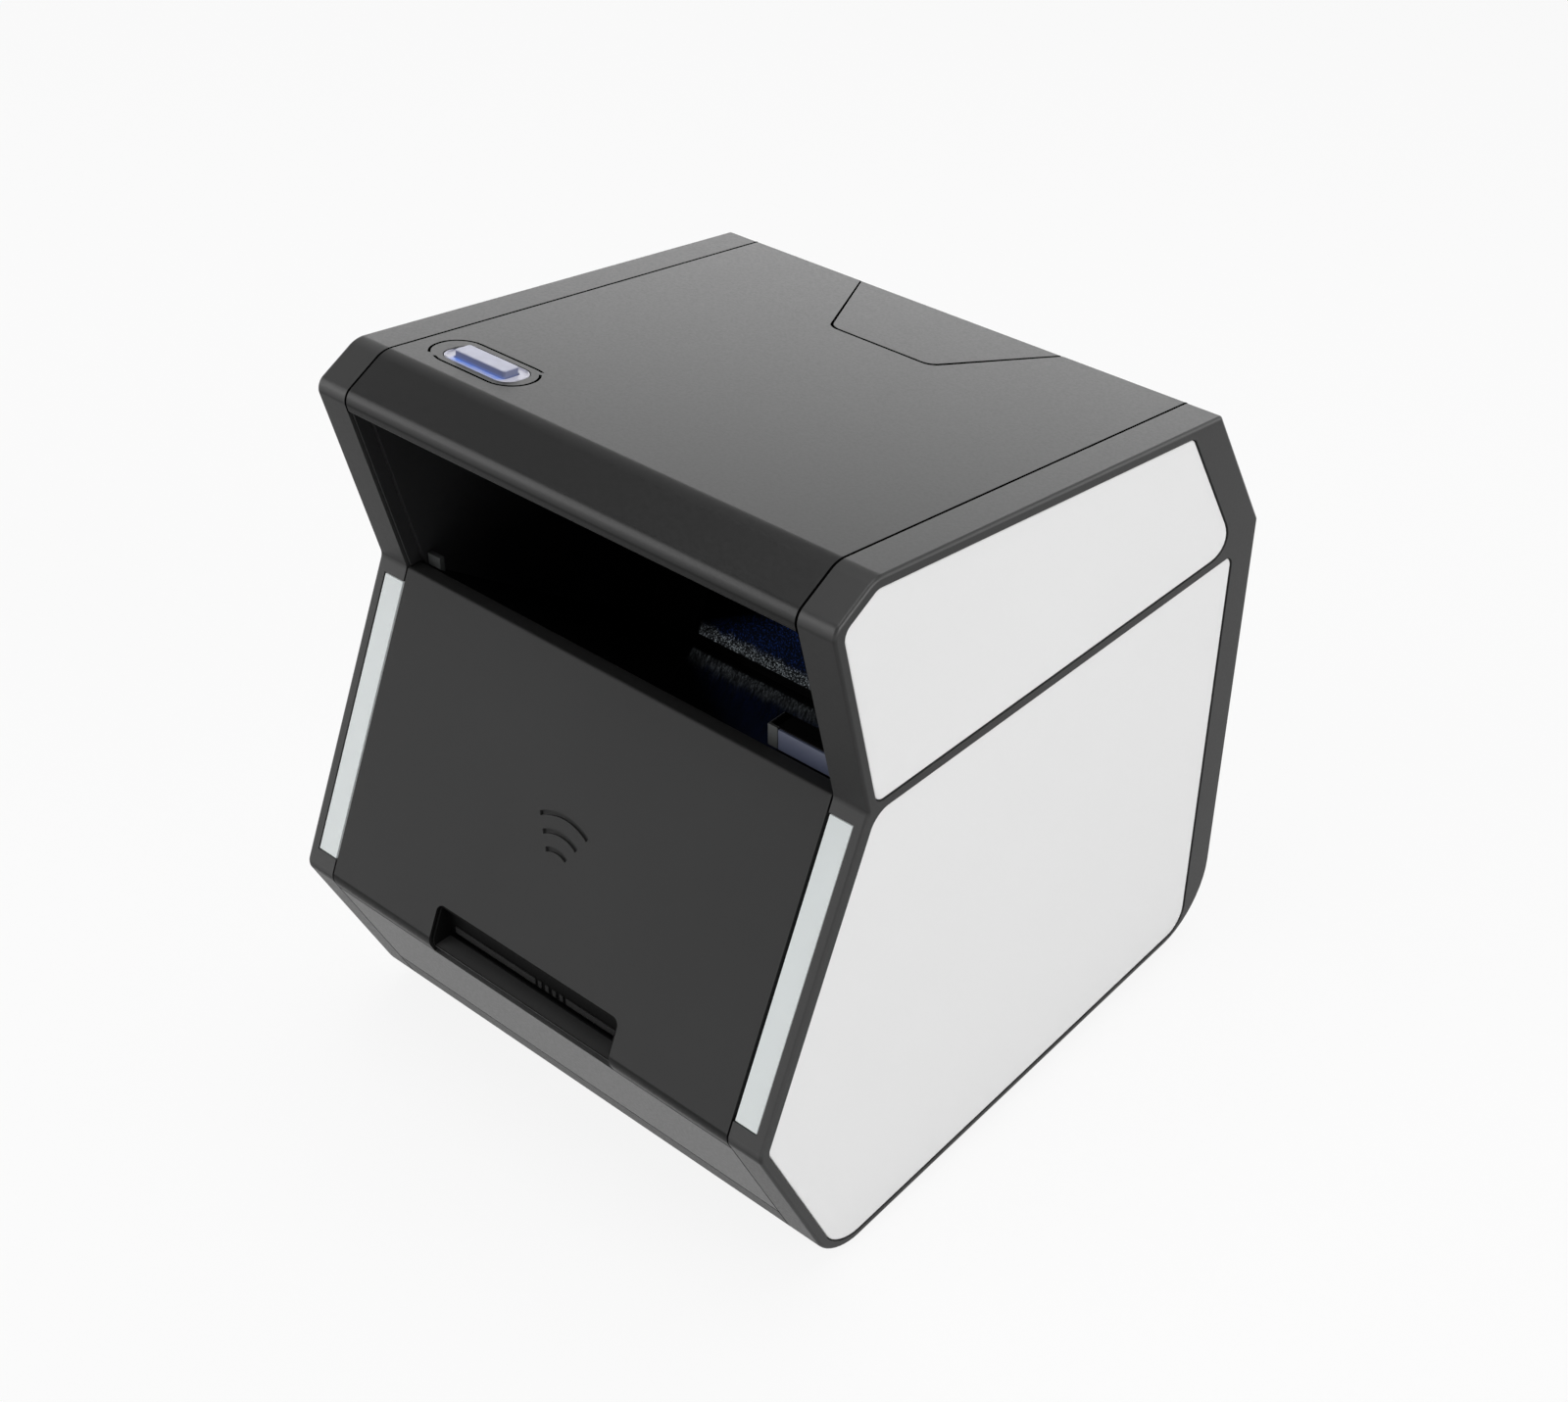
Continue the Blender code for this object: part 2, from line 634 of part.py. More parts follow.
def front_panel():
    """Make the front panel with its engraved mark and the outlet recess."""
    outer, inner = panel_corners()
    edge = CLEAR
    outline = rounded(outer + inner[::-1], [edge, PANEL_RADIUS, edge, 0, CLEAR, edge])
    panel = across("front_panel", outline, -COVER_HALF, COVER_HALF, PANEL_PLASTIC)
    length = (PANEL_FOOT - NOTCH).length
    half = RECESS_WIDTH / 2
    mouth = rectangle(-half, half, length - RECESS_HEIGHT, length + 2 * PANEL_WRAP)
    cut(panel, settle("recess_cut", on_face(NOTCH, PANEL_FOOT, mouth, -PANEL_WALL, 3 * PANEL_WALL), None))
    for number, radius in enumerate(MARK_RADII):
        band = mark_band(radius)
        cut(panel, settle(f"mark_cut_{number}", on_face(NOTCH, PANEL_FOOT, band, -MARK_DEPTH, MARK_DEPTH), None))


def mark_band(radius):
    """Return one arc band of the contactless mark, in X and distance below the notch."""
    steps = 2 * ARC_STEPS
    angles = [MARK_HALF_ANGLE * (2 * k / steps - 1) for k in range(steps + 1)]
    outer, inner = radius + MARK_LINE / 2, radius - MARK_LINE / 2
    band = [Vector((outer * sin(a), MARK_CENTRE - outer * cos(a))) for a in angles]
    return band + [Vector((inner * sin(a), MARK_CENTRE - inner * cos(a))) for a in reversed(angles)]


def outlet_chute():
    """Make the lined pocket behind the recess, with the paper slot in its back."""
    run, into = (PANEL_FOOT - NOTCH).normalized(), inward(NOTCH, PANEL_FOOT)
    floor = PAPER_HEIGHT - SLOT_HEIGHT / 2
    back = PANEL_FOOT.x + RECESS_DEPTH
    rear = back + CHUTE_WALL
    brow = PANEL_FOOT - run * (RECESS_HEIGHT - CLEAR) + into * PANEL_WALL / 5
    under = brow + run * CHUTE_WALL
    level, rise = Vector((1, 0)), Vector((0, 1))
    sill = point(rear, floor - CHUTE_WALL)
    front_low = meet(brow, brow + run, sill, sill + level)
    outline = [front_low, sill, meet(sill, sill + rise, brow, brow + into), brow]
    half = RECESS_WIDTH / 2 - CLEAR
    chute = across("outlet_chute", outline, -half, half, PANEL_PLASTIC)
    ahead = point(FRONT_EDGE - RECESS_DEPTH, floor)
    step = point(back, floor)
    pocket = [ahead, step, meet(step, step + rise, under, under + into),
              meet(ahead, ahead + rise, under, under + into)]
    cut(chute, across("chute_pocket", pocket, CHUTE_WALL - half, half - CHUTE_WALL))
    slot = rectangle(back - CLEAR, rear + CHUTE_WALL, floor + CLEAR, floor + CLEAR + SLOT_HEIGHT)
    cut(chute, across("paper_slot", slot, -SLOT_WIDTH / 2, SLOT_WIDTH / 2))


def plinth_panel():
    """Make the undercut panel below the front panel."""
    depth = inward(PANEL_FOOT, BASE_FRONT) * SHELL
    top = toward(PANEL_FOOT, BASE_FRONT, PANEL_WRAP + CLEAR)
    foot = toward(PANEL_FOOT, BASE_FRONT, PLINTH_LENGTH)
    across("plinth_panel", [top, foot, foot + depth, top + depth], -COVER_HALF, COVER_HALF, PLINTH_PLASTIC)


def base_tray():
    """Make the base tray with its upturned ends, foot recesses, screw holes and board posts."""
    front = toward(PANEL_FOOT, BASE_FRONT, PLINTH_LENGTH + CLEAR)
    inner_front = front + inward(PANEL_FOOT, BASE_FRONT) * SHELL
    rear, inner_rear = point(BASE_DEPTH, BASE_REAR_HEIGHT), point(BASE_DEPTH - SHELL, BASE_REAR_HEIGHT)
    heel = point(BASE_DEPTH - SHELL, SHELL)
    foot = meet(inner_front, inner_front + BASE_FRONT - PANEL_FOOT, heel, point(0, SHELL))
    corners = [front, BASE_FRONT, BASE_REAR, rear, inner_rear, heel, foot, inner_front]
    outline = rounded(corners, [0, BASE_FRONT_RADIUS, BASE_REAR_RADIUS, 0,
                                0, TRAY_HEEL_RADIUS, TRAY_FOOT_RADIUS, 0])
    tray = across("base_tray", outline, -COVER_HALF, COVER_HALF, RIM_PLASTIC)
    for name, place in feet():
        cut(tray, upright(f"{name}_recess", place, FOOT_RADIUS + CLEAR, -FOOT_LIFT, FOOT_SINK))
    for name, place in screws():
        sunk = SCREW_HEAD + 2 * CLEAR
        cut(tray, upright(f"{name}_head_hole", place, SCREW_HEAD_RADIUS + CLEAR, -FOOT_LIFT, sunk))
        cut(tray, upright(f"{name}_hole", place, SCREW_RADIUS + CLEAR, 0, 2 * SHELL))
    for name, place, height in board_posts():
        fuse(tray, upright(name, place, BOARD_POST_RADIUS, SHELL / 2, height - CLEAR))


def feet():
    """Return the names and places of the rubber feet."""
    return [(f"{side}_{end}_foot", (sign * (COVER_HALF - FOOT_EDGE), depth))
            for side, sign in (("left", -1), ("right", 1))
            for end, depth in (("front", FOOT_FRONT_GAP), ("rear", BASE_DEPTH - FOOT_REAR_GAP))]


def screws():
    """Return the names and places of the screws that hold the chassis to the base."""
    middle = (CHASSIS_FOOT + CHASSIS_REAR) / 2 - MOTOR_RADIUS
    return [(f"{side}_chassis_screw", (sign * SCREW_X, middle))
            for side, sign in (("left", -1), ("right", 1))]


def board_posts():
    """Return the names, places and heights of the posts under the two boards."""
    x = BOARD_HALF - BOARD_POST_RADIUS
    main_front = MAIN_BOARD_FRONT + BOARD_POST_RADIUS
    main_rear = MAIN_BOARD_FRONT + MAIN_BOARD_LENGTH - BOARD_POST_RADIUS
    port = port_board_rear() - PORT_BOARD_LENGTH / 2
    posts = []
    for side, sign in (("left", -1), ("right", 1)):
        posts.append((f"{side}_main_front_post", (sign * x, main_front), MAIN_BOARD_HEIGHT))
        posts.append((f"{side}_main_rear_post", (sign * x, main_rear), MAIN_BOARD_HEIGHT))
        posts.append((f"{side}_port_post", (sign * x, port), PORT_BOARD_HEIGHT))
    return posts


def port_board_rear():
    """Return the depth of the port board's rear edge."""
    return BASE_DEPTH - SHELL - 2 * CLEAR


def hinge_axis():
    """Return the paper door's axis in the side view."""
    return point(BASE_DEPTH - BARREL_RADIUS, DOOR_FOOT_HEIGHT)


def rear_cover():
    """Make the rear cover: two columns and a lower strip round the door, with the socket holes."""
    foot, heel, shoulder, rear, hood, nose, notch, toe = SHELL_CORNERS
    outer_top, inner_top = mitre(TOP_REAR, rear, SHOULDER, shoulder)
    low = BASE_REAR_HEIGHT + CLEAR
    outer, inner = point(BASE_DEPTH, low), point(BASE_DEPTH - SHELL, low)
    outline = shell_outline([outer, SHOULDER, outer_top], [inner, shoulder, inner_top],
                            [0, SHOULDER_RADIUS, 0], SHELL)
    cover = across("rear_cover", outline, -COVER_HALF, COVER_HALF, RIM_PLASTIC)
    axis = hinge_axis()
    half = DOOR_WIDTH / 2 + CLEAR
    opening = rectangle(TOP_REAR_DEPTH - 4 * SHELL, BASE_DEPTH + SHELL,
                        axis.y - BARREL_RADIUS - CLEAR, HOOD_HEIGHT)
    lug = rectangle(axis.x - 2 * BARREL_RADIUS, BASE_DEPTH - SHELL / 2,
                    axis.y - 2 * BARREL_RADIUS, axis.y + 2 * BARREL_RADIUS)
    for side, sign in (("left", -1), ("right", 1)):
        fuse(cover, across(f"{side}_hinge_lug", lug, sign * half, sign * (half + HINGE_LUG)))
    cut(cover, across("door_opening", opening, -half, half))
    cut(cover, across("hinge_hole", circle(axis, HINGE_PIN_RADIUS + CLEAR), -pin_half() - CLEAR,
                      pin_half() + CLEAR))
    for name, x, width, height in sockets():
        hole = rectangle(BASE_DEPTH - 2 * SHELL, BASE_DEPTH + SHELL,
                         socket_floor() - CLEAR, socket_floor() + height + CLEAR)
        reach = width / 2 + CLEAR
        cut(cover, across(f"{name}_hole", hole, x - reach, x + reach))


def pin_half():
    """Return half the hinge pin's length."""
    return DOOR_WIDTH / 2 + CLEAR + HINGE_LUG - SHELL / 2


def paper_door():
    """Make the paper door with its tongue and hinge barrel, its pin and the catch under the tongue."""
    foot, heel, shoulder, rear, hood, nose, notch, toe = SHELL_CORNERS
    axis = hinge_axis()
    tip = toward(TOP_REAR, HOOD, TONGUE_LENGTH)
    inner_tip = tip + inward(TOP_REAR, HOOD) * SHELL
    outer, inner = point(BASE_DEPTH, axis.y), point(BASE_DEPTH - SHELL, axis.y)
    outline = shell_outline([outer, SHOULDER, TOP_REAR, tip], [inner, shoulder, rear, inner_tip],
                            [0, SHOULDER_RADIUS, SHOULDER_RADIUS, 0], SHELL)
    half = DOOR_WIDTH / 2
    pivot = (0, axis.x, axis.y)
    door = across("paper_door", outline, -half, half, TOP_PLASTIC, pivot)
    fuse(door, across("door_barrel", circle(axis, BARREL_RADIUS), -half, half))
    cut(door, across("barrel_bore", circle(axis, HINGE_PIN_RADIUS + CLEAR), -WIDTH, WIDTH))
    for side, sign in (("left", -1), ("right", 1)):
        wedge = [Vector((sign * half, 0)), Vector((sign * WIDTH, 0)),
                 Vector((sign * WIDTH, 2 * TONGUE_LENGTH)),
                 Vector((sign * (TONGUE_WIDTH - half), 2 * TONGUE_LENGTH))]
        cut(door, settle(f"{side}_tongue_wedge", on_face(TOP_REAR, HOOD, wedge, -SHELL, 3 * SHELL), None))
    across("door_hinge_pin", circle(axis, HINGE_PIN_RADIUS), -pin_half(), pin_half(), STEEL)
    middle = TONGUE_LENGTH
    catch = rectangle(-CATCH_WIDTH / 2, CATCH_WIDTH / 2, middle - CATCH_LENGTH / 2, middle + CATCH_LENGTH / 2)
    top = SHELL + CLEAR
    settle("door_catch", on_face(TOP_REAR, HOOD, catch, top, top + CATCH_THICK), RIM_PLASTIC)


# Document bay

def bay_corners():
    """Return the bay's corners: glass front, glass rear, rear top and front top."""
    outer, inner = panel_corners()
    front = point(inner[0].x + CLEAR, NOTCH_HEIGHT - GLASS_SINK)
    rear = point(BAY_BACK_DEPTH, BAY_BACK_HEIGHT)
    shift = inward(TOP_REAR, HOOD) * CEILING_DROP
    ceiling = (TOP_REAR + shift, HOOD + shift)
    upright_line = (point(BAY_TOP_DEPTH, 0), point(BAY_TOP_DEPTH, 1))
    rear_top = meet(*ceiling, *upright_line)
    roof = [corner - inward(TOP_REAR, HOOD) * LINER for corner in ceiling]
    hood_inside = inward(HOOD, NOSE) * (SHELL + CLEAR)
    brow = meet(*roof, HOOD + hood_inside, NOSE + hood_inside)
    front_top = meet(*ceiling, brow, brow + (NOTCH - NOSE))
    return front, rear, rear_top, front_top


def bay_liner():
    """Make the bay's lining: floor frame, back, ceiling and two sides, open to the front."""
    front, rear, rear_top, front_top = bay_corners()
    under_glass = GLASS + CLEAR / 2
    cavity = inset([front, rear, rear_top, front_top], [-under_glass, 0, 0, 0])
    outer = inset(cavity, [-LINER, -LINER, -LINER, 0])
    liner = across("bay_liner", outer, -COVER_HALF, COVER_HALF, BAY_PLASTIC)
    open_front = inset(cavity, [0, 0, 0, -2 * LINER])
    half = bay_half()
    cut(liner, across("bay_hollow", open_front, -half, half))
    run = (rear - front).length
    view = rectangle(GLASS_LEDGE - half, half - GLASS_LEDGE, 2 * GLASS_LEDGE, run - 2 * GLASS_LEDGE)
    cut(liner, settle("glass_view", on_face(rear, front, view, -2 * (GLASS + LINER), GLASS), None))
    cut(liner, settle("window_hole", back_plate(CLEAR, -2 * LINER, LINER), None))
    return liner


def bay_half():
    """Return half the clear width of the bay."""
    return COVER_HALF - LINER


def back_plate(spare, shallow, deep):
    """Carry the window's outline, grown by a margin, into the bay's back wall."""
    front, rear, rear_top, front_top = bay_corners()
    half = WINDOW_WIDTH / 2 + spare
    outline = rectangle(-half, half, WINDOW_LIFT - spare, WINDOW_LIFT + WINDOW_HEIGHT + spare)
    return on_face(rear, rear_top, outline, shallow, deep)


def bay_fittings():
    """Make the glass, the lit window with its light bar, the light block and the stop tab."""
    front, rear, rear_top, front_top = bay_corners()
    half = bay_half() - CLEAR
    head, tail = toward(front, rear, CLEAR), toward(rear, front, CLEAR)
    depth = inward(rear, front) * GLASS
    across("bay_glass", [tail, head, head + depth, tail + depth], -half, half, GLASS_CLEAR)
    settle("scan_window", back_plate(0, -LINER, -CLEAR), WINDOW_PLASTIC)
    behind = -LINER - CLEAR
    settle("window_light_bar", back_plate(LIGHT_BAR_LAP, behind - LIGHT_BOARD, behind), BOARD_GREEN)
    gap = Vector((0, 2 * CLEAR))
    toe = front + Vector((CLEAR, 0))
    glass_line = (front + gap, rear + gap)
    for name, left, right, length, rise, material in (
            ("bay_light_block", half - LIGHT_BLOCK_WIDTH, half, LIGHT_BLOCK_LENGTH, LIGHT_BLOCK_RISE,
             STRIP_PLASTIC),
            ("bay_stop_tab", -half, TAB_WIDTH - half, TAB_LENGTH, TAB_RISE, RIM_PLASTIC)):
        heel = toe + Vector((length, 0))
        top = NOTCH_HEIGHT + rise
        low_front = meet(*glass_line, toe, toe + Vector((0, 1)))
        low_rear = meet(*glass_line, heel, heel + Vector((0, 1)))
        outline = [low_front, low_rear, point(heel.x, top), point(toe.x, top)]
        across(name, outline, left, right, material)


# Print mechanism

def gear_outline(centre, teeth, phase):
    """Return a spur gear outline with a tooth centred on the phase angle."""
    pitch = GEAR_MODULE * teeth / 2
    tip, root = pitch + GEAR_MODULE * 0.9, pitch - GEAR_MODULE * 1.2
    half = pi / (2 * teeth) - GEAR_BACKLASH / (2 * pitch)
    step = 2 * pi / teeth
    outline = []
    for k in range(teeth):
        middle = phase + k * step
        for radius, share in ((root, -1.35), (pitch, -1), (tip, -0.5), (tip, 0.5), (pitch, 1), (root, 1.35)):
            angle = middle + share * half
            outline.append(centre + Vector((cos(angle), sin(angle))) * radius)
    return outline


def gear_train():
    """Return the centres and phases of the platen gear, the idler and the pinion."""
    platen = point(PLATEN_DEPTH, PAPER_HEIGHT - CLEAR - PLATEN_RADIUS)
    reach = GEAR_MODULE * (PLATEN_TEETH + IDLER_TEETH) / 2 + GEAR_BACKLASH / 2
    idler = platen + Vector((cos(IDLER_BEARING), sin(IDLER_BEARING))) * reach
    reach = GEAR_MODULE * (IDLER_TEETH + PINION_TEETH) / 2 + GEAR_BACKLASH / 2
    pinion = idler + Vector((cos(PINION_BEARING), sin(PINION_BEARING))) * reach
    idler_phase = IDLER_BEARING + pi + pi / IDLER_TEETH
    lag = (idler_phase - PINION_BEARING) * IDLER_TEETH / PINION_TEETH
    pinion_phase = PINION_BEARING + pi + pi / PINION_TEETH - lag
    return (platen, IDLER_BEARING), (idler, idler_phase), (pinion, pinion_phase)


def head_pivot():
    """Return the thermal head's pivot in the side view."""
    return point(HEAD_PIVOT_DEPTH, PAPER_HEIGHT + HEAD_PIVOT_RISE)


def plate_inside():
    """Return the inner face of the chassis side plates in X."""
    return CHASSIS_WIDTH / 2 - CHASSIS_SHEET


def chassis():
    """Make the print chassis: two side plates on a floor plate, with the shaft holes."""
    (platen, _), (idler, _), (pinion, _) = gear_train()
    half, inside = CHASSIS_WIDTH / 2, plate_inside()
    low = SHELL + CLEAR
    brow = PANEL_FOOT_HEIGHT * 0.7
    side = [point(CHASSIS_FOOT, low), point(CHASSIS_REAR, low), point(CHASSIS_REAR, CHASSIS_HEIGHT),
            point(CHASSIS_FRONT, CHASSIS_HEIGHT), point(CHASSIS_FRONT, brow), point(CHASSIS_FOOT, brow / 2)]
    frame = across("print_chassis", side, -half, -inside, STEEL)
    floor = rectangle(CHASSIS_FOOT, CHASSIS_REAR, low, low + CHASSIS_SHEET)
    fuse(frame, across("chassis_floor", floor, -half + CLEAR, half - CLEAR))
    fuse(frame, across("right_chassis_plate", side, inside, half))
    for name, centre, radius, left in (
            ("platen_hole", platen, PLATEN_SHAFT_RADIUS, -WIDTH / 2),
            ("rod_hole", head_pivot(), HEAD_ROD_RADIUS, -WIDTH / 2),
            ("idler_hole", idler, IDLER_PIN_RADIUS, 0),
            ("motor_hole", pinion, MOTOR_SHAFT_RADIUS, 0)):
        cut(frame, across(name, circle(centre, radius + CLEAR), left, WIDTH / 2))
    for name, place in screws():
        cut(frame, upright(f"{name}_thread", place, SCREW_RADIUS + CLEAR, 0, CHASSIS_HEIGHT / 2))


def drive():
    """Make the platen, its gear, the idler on its pin, the motor and its pinion."""
    (platen, phase), (idler, idler_phase), (pinion, pinion_phase) = gear_train()
    half = CHASSIS_WIDTH / 2
    near, far = half + 3 * CLEAR, half + 3 * CLEAR + GEAR_WIDTH
    pivot = (0, platen.x, platen.y)
    across("platen_shaft", circle(platen, PLATEN_SHAFT_RADIUS), -half - CHASSIS_SHEET, far + CLEAR,
           STEEL, pivot)
    tube("platen_roller", platen, PLATEN_RADIUS, PLATEN_SHAFT_RADIUS + CLEAR, -PAPER_WIDTH / 2,
         PAPER_WIDTH / 2, RUBBER, pivot)
    gear = across("platen_gear", gear_outline(platen, PLATEN_TEETH, phase), near, far, GEAR_PLASTIC, pivot)
    cut(gear, across("platen_gear_bore", circle(platen, PLATEN_SHAFT_RADIUS + CLEAR), 0, WIDTH))
    across("idler_pin", circle(idler, IDLER_PIN_RADIUS), plate_inside(), far + CLEAR, STEEL)
    pivot = (0, idler.x, idler.y)
    gear = across("idler_gear", gear_outline(idler, IDLER_TEETH, idler_phase), near, far, GEAR_PLASTIC, pivot)
    cut(gear, across("idler_gear_bore", circle(idler, IDLER_PIN_RADIUS + CLEAR), 0, WIDTH))
    face = plate_inside() - CLEAR
    across("drive_motor", circle(pinion, MOTOR_RADIUS), face - MOTOR_LENGTH, face, STEEL)
    pivot = (0, pinion.x, pinion.y)
    gear = across("motor_pinion", gear_outline(pinion, PINION_TEETH, pinion_phase), near, far, BRASS, pivot)
    fuse(gear, across("motor_shaft", circle(pinion, MOTOR_SHAFT_RADIUS), face + CLEAR, near + CLEAR))


def print_head():
    """Make the thermal head on its pivot rod."""
    pivot = head_pivot()
    low = PAPER_HEIGHT
    eye = HEAD_ROD_RADIUS + HEAD_THICK
    corners = [point(HEAD_FRONT, low), point(pivot.x - 2 * eye, low), point(pivot.x + eye, pivot.y - eye),
               point(pivot.x + eye, pivot.y + eye), point(pivot.x - eye, pivot.y + eye),
               point(pivot.x - 3 * eye, low + HEAD_THICK), point(HEAD_FRONT, low + HEAD_THICK)]
    half = PAPER_WIDTH / 2 + CHASSIS_SHEET
    head = across("thermal_head", corners, -half, half, ALUMINIUM, (0, pivot.x, pivot.y))
    cut(head, across("rod_bore", circle(pivot, HEAD_ROD_RADIUS + CLEAR), -WIDTH, WIDTH))
    reach = CHASSIS_WIDTH / 2 + CLEAR
    across("head_rod", circle(pivot, HEAD_ROD_RADIUS), -reach, reach, STEEL)


def cutter():
    """Make the fixed blade, the moving blade and the guide bar it slides on."""
    half = plate_inside() - CLEAR
    back = CUTTER_DEPTH + BLADE_THICK
    behind = back + CLEAR
    low, high = PAPER_HEIGHT - SLOT_HEIGHT / 4, PAPER_HEIGHT + SLOT_HEIGHT / 2
    fixed = rectangle(behind, behind + BLADE_THICK, low - BLADE_HEIGHT, low)
    across("fixed_blade", fixed, -half, half, STEEL)
    moving = rectangle(CUTTER_DEPTH, back, high, high + BLADE_HEIGHT)
    pivot = (0, (CUTTER_DEPTH + back) / 2, high)
    across("cutter_blade", moving, -half, half, STEEL, pivot)
    guide = rectangle(behind, behind + 3 * BLADE_THICK, high + BLADE_HEIGHT / 4, high + BLADE_HEIGHT * 0.75)
    across("cutter_guide", guide, -half, half, ALUMINIUM)


def paper_supply():
    """Make the paper roll on its core and spindle, and the two brackets that carry it."""
    centre = point(ROLL_DEPTH, ROLL_HEIGHT)
    pivot = (0, centre.x, centre.y)
    half = PAPER_WIDTH / 2
    tube("paper_roll", centre, ROLL_RADIUS, CORE_RADIUS + CLEAR, -half, half, PAPER, pivot)
    tube("roll_core", centre, CORE_RADIUS, CORE_RADIUS - CORE_WALL, -half, half, CARDBOARD, pivot)
    near = half + 3 * CLEAR
    far = near + BRACKET_SHEET
    radius = min(SPINDLE_RADIUS, CORE_RADIUS - CORE_WALL - CLEAR)
    across("roll_spindle", circle(centre, radius), -far - CLEAR, far + CLEAR, RIM_PLASTIC, pivot)
    fork = radius + CLEAR
    low, high = SHELL + CLEAR, ROLL_HEIGHT + BRACKET_RISE
    reach = BRACKET_LENGTH / 2
    turns = [pi + pi * k / ROUND_STEPS * 2 for k in range(ROUND_STEPS // 2 + 1)]
    seat = [centre + Vector((cos(turn), sin(turn))) * fork for turn in turns]
    outline = [point(centre.x - reach, high), point(centre.x - reach, low), point(centre.x + reach, low),
               point(centre.x + reach, high), point(centre.x + fork, high)] + seat[::-1]
    outline.append(point(centre.x - fork, high))
    for side, sign in (("left", -1), ("right", 1)):
        across(f"{side}_roll_bracket", outline, sign * near, sign * far, STEEL)


# Electronics and small parts

def sockets():
    """Return the rear sockets: name, middle in X, width and height."""
    return [("network_socket", NETWORK_X, NETWORK_WIDTH, NETWORK_HEIGHT),
            ("data_socket", DATA_X, DATA_WIDTH, DATA_HEIGHT),
            ("power_socket", POWER_X, POWER_WIDTH, POWER_WIDTH)]


def socket_floor():
    """Return the height at which the rear sockets stand."""
    return PORT_BOARD_HEIGHT + BOARD + CLEAR


def electronics():
    """Make the boards, the camera under the glass and the rear sockets."""
    half = BOARD_HALF
    main = rectangle(MAIN_BOARD_FRONT, MAIN_BOARD_FRONT + MAIN_BOARD_LENGTH,
                     MAIN_BOARD_HEIGHT, MAIN_BOARD_HEIGHT + BOARD)
    across("main_board", main, -half, half, BOARD_GREEN)
    rear = port_board_rear()
    port = rectangle(rear - PORT_BOARD_LENGTH, rear, PORT_BOARD_HEIGHT, PORT_BOARD_HEIGHT + BOARD)
    across("port_board", port, -half, half, BOARD_GREEN)
    antenna = rectangle(-ANTENNA_WIDTH / 2, ANTENNA_WIDTH / 2, ANTENNA_TOP, ANTENNA_TOP + ANTENNA_LENGTH)
    back = PANEL_WALL + CLEAR
    settle("antenna_board", on_face(NOTCH, PANEL_FOOT, antenna, back, back + BOARD), BOARD_GREEN)
    middle = MAIN_BOARD_FRONT + MAIN_BOARD_LENGTH / 2
    low = MAIN_BOARD_HEIGHT + BOARD + CLEAR
    high = low + CAMERA_HEIGHT
    body = rectangle(middle - CAMERA_SIZE / 2, middle + CAMERA_SIZE / 2, low, high)
    camera = across("camera_module", body, -CAMERA_SIZE / 2, CAMERA_SIZE / 2, RIM_PLASTIC)
    fuse(camera, upright("camera_lens", (0, middle), LENS_RADIUS, high - CLEAR, high + LENS_LENGTH))
    face = BASE_DEPTH - SOCKET_SINK
    floor = socket_floor()
    for name, x, width, height in sockets():
        outline = rectangle(face - SOCKET_LENGTH, face, floor, floor + height)
        socket = across(name, outline, x - width / 2, x + width / 2, SOCKET_PLASTIC)
        open_socket(name, socket, x, floor + height / 2, face)


def open_socket(name, socket, x, middle, face):
    """Cut the plug opening of one rear socket."""
    deep, out = face - PLUG_DEPTH, face + SHELL
    if name == "network_socket":
        plug = rectangle(deep, out, middle - PLUG_HEIGHT / 2, middle + PLUG_HEIGHT / 2)
        cut(socket, across("network_plug", plug, x - PLUG_WIDTH / 2, x + PLUG_WIDTH / 2))
    elif name == "data_socket":
        plug = rectangle(deep, out, middle - DATA_SLOT_HEIGHT / 2, middle + DATA_SLOT_HEIGHT / 2)
        cut(socket, across("data_plug", plug, x - DATA_SLOT_WIDTH / 2, x + DATA_SLOT_WIDTH / 2))
    else:
        cut(socket, tube("power_plug", Vector((x, middle)), POWER_BORE, POWER_PIN, deep, out, back=True))


def feet_and_screws():
    """Make the rubber feet and the screws that hold the chassis to the base."""
    for name, place in feet():
        upright(name, place, FOOT_RADIUS, -FOOT_LIFT, FOOT_SINK - CLEAR, RUBBER)
    for name, place in screws():
        head = upright(name, place, SCREW_HEAD_RADIUS, CLEAR, CLEAR + SCREW_HEAD, STEEL)
        fuse(head, upright(f"{name}_shank", place, SCREW_RADIUS, CLEAR * 2, SCREW_DEPTH))


for old in list(bpy.data.objects):
    bpy.data.objects.remove(old, do_unlink=True)

CASE_ORIGIN = bpy.data.objects.new("case_origin", None)
CASE_ORIGIN.location = (0, -CASE_CENTRE, FOOT_LIFT)
bpy.context.collection.objects.link(CASE_ORIGIN)

RIM_PLASTIC = finish("rim_plastic", "4c4c4c", 0.55)
TOP_PLASTIC = finish("top_plastic", "585858", 0.4)
PANEL_PLASTIC = finish("panel_plastic", "3e3e3e", 0.5)
PLINTH_PLASTIC = finish("plinth_plastic", "6c6c6c", 0.5)
INLAY_PLASTIC = finish("inlay_plastic", "e4e4e4", 0.4)
STRIP_PLASTIC = finish("strip_plastic", "d8dcdc", 0.35)
BAY_PLASTIC = finish("bay_plastic", "101010", 0.5)
GLASS_CLEAR = finish("bay_glass", "0c0e10", 0.05)
WINDOW_PLASTIC = finish("window_plastic", "1c2650", 0.3)
BEZEL_PLASTIC = finish("bezel_plastic", "cfcfd8", 0.3)
BUTTON_PLASTIC = finish("button_plastic", "9aa4d6", 0.3)
SOCKET_PLASTIC = finish("socket_plastic", "1c1c1c", 0.5)
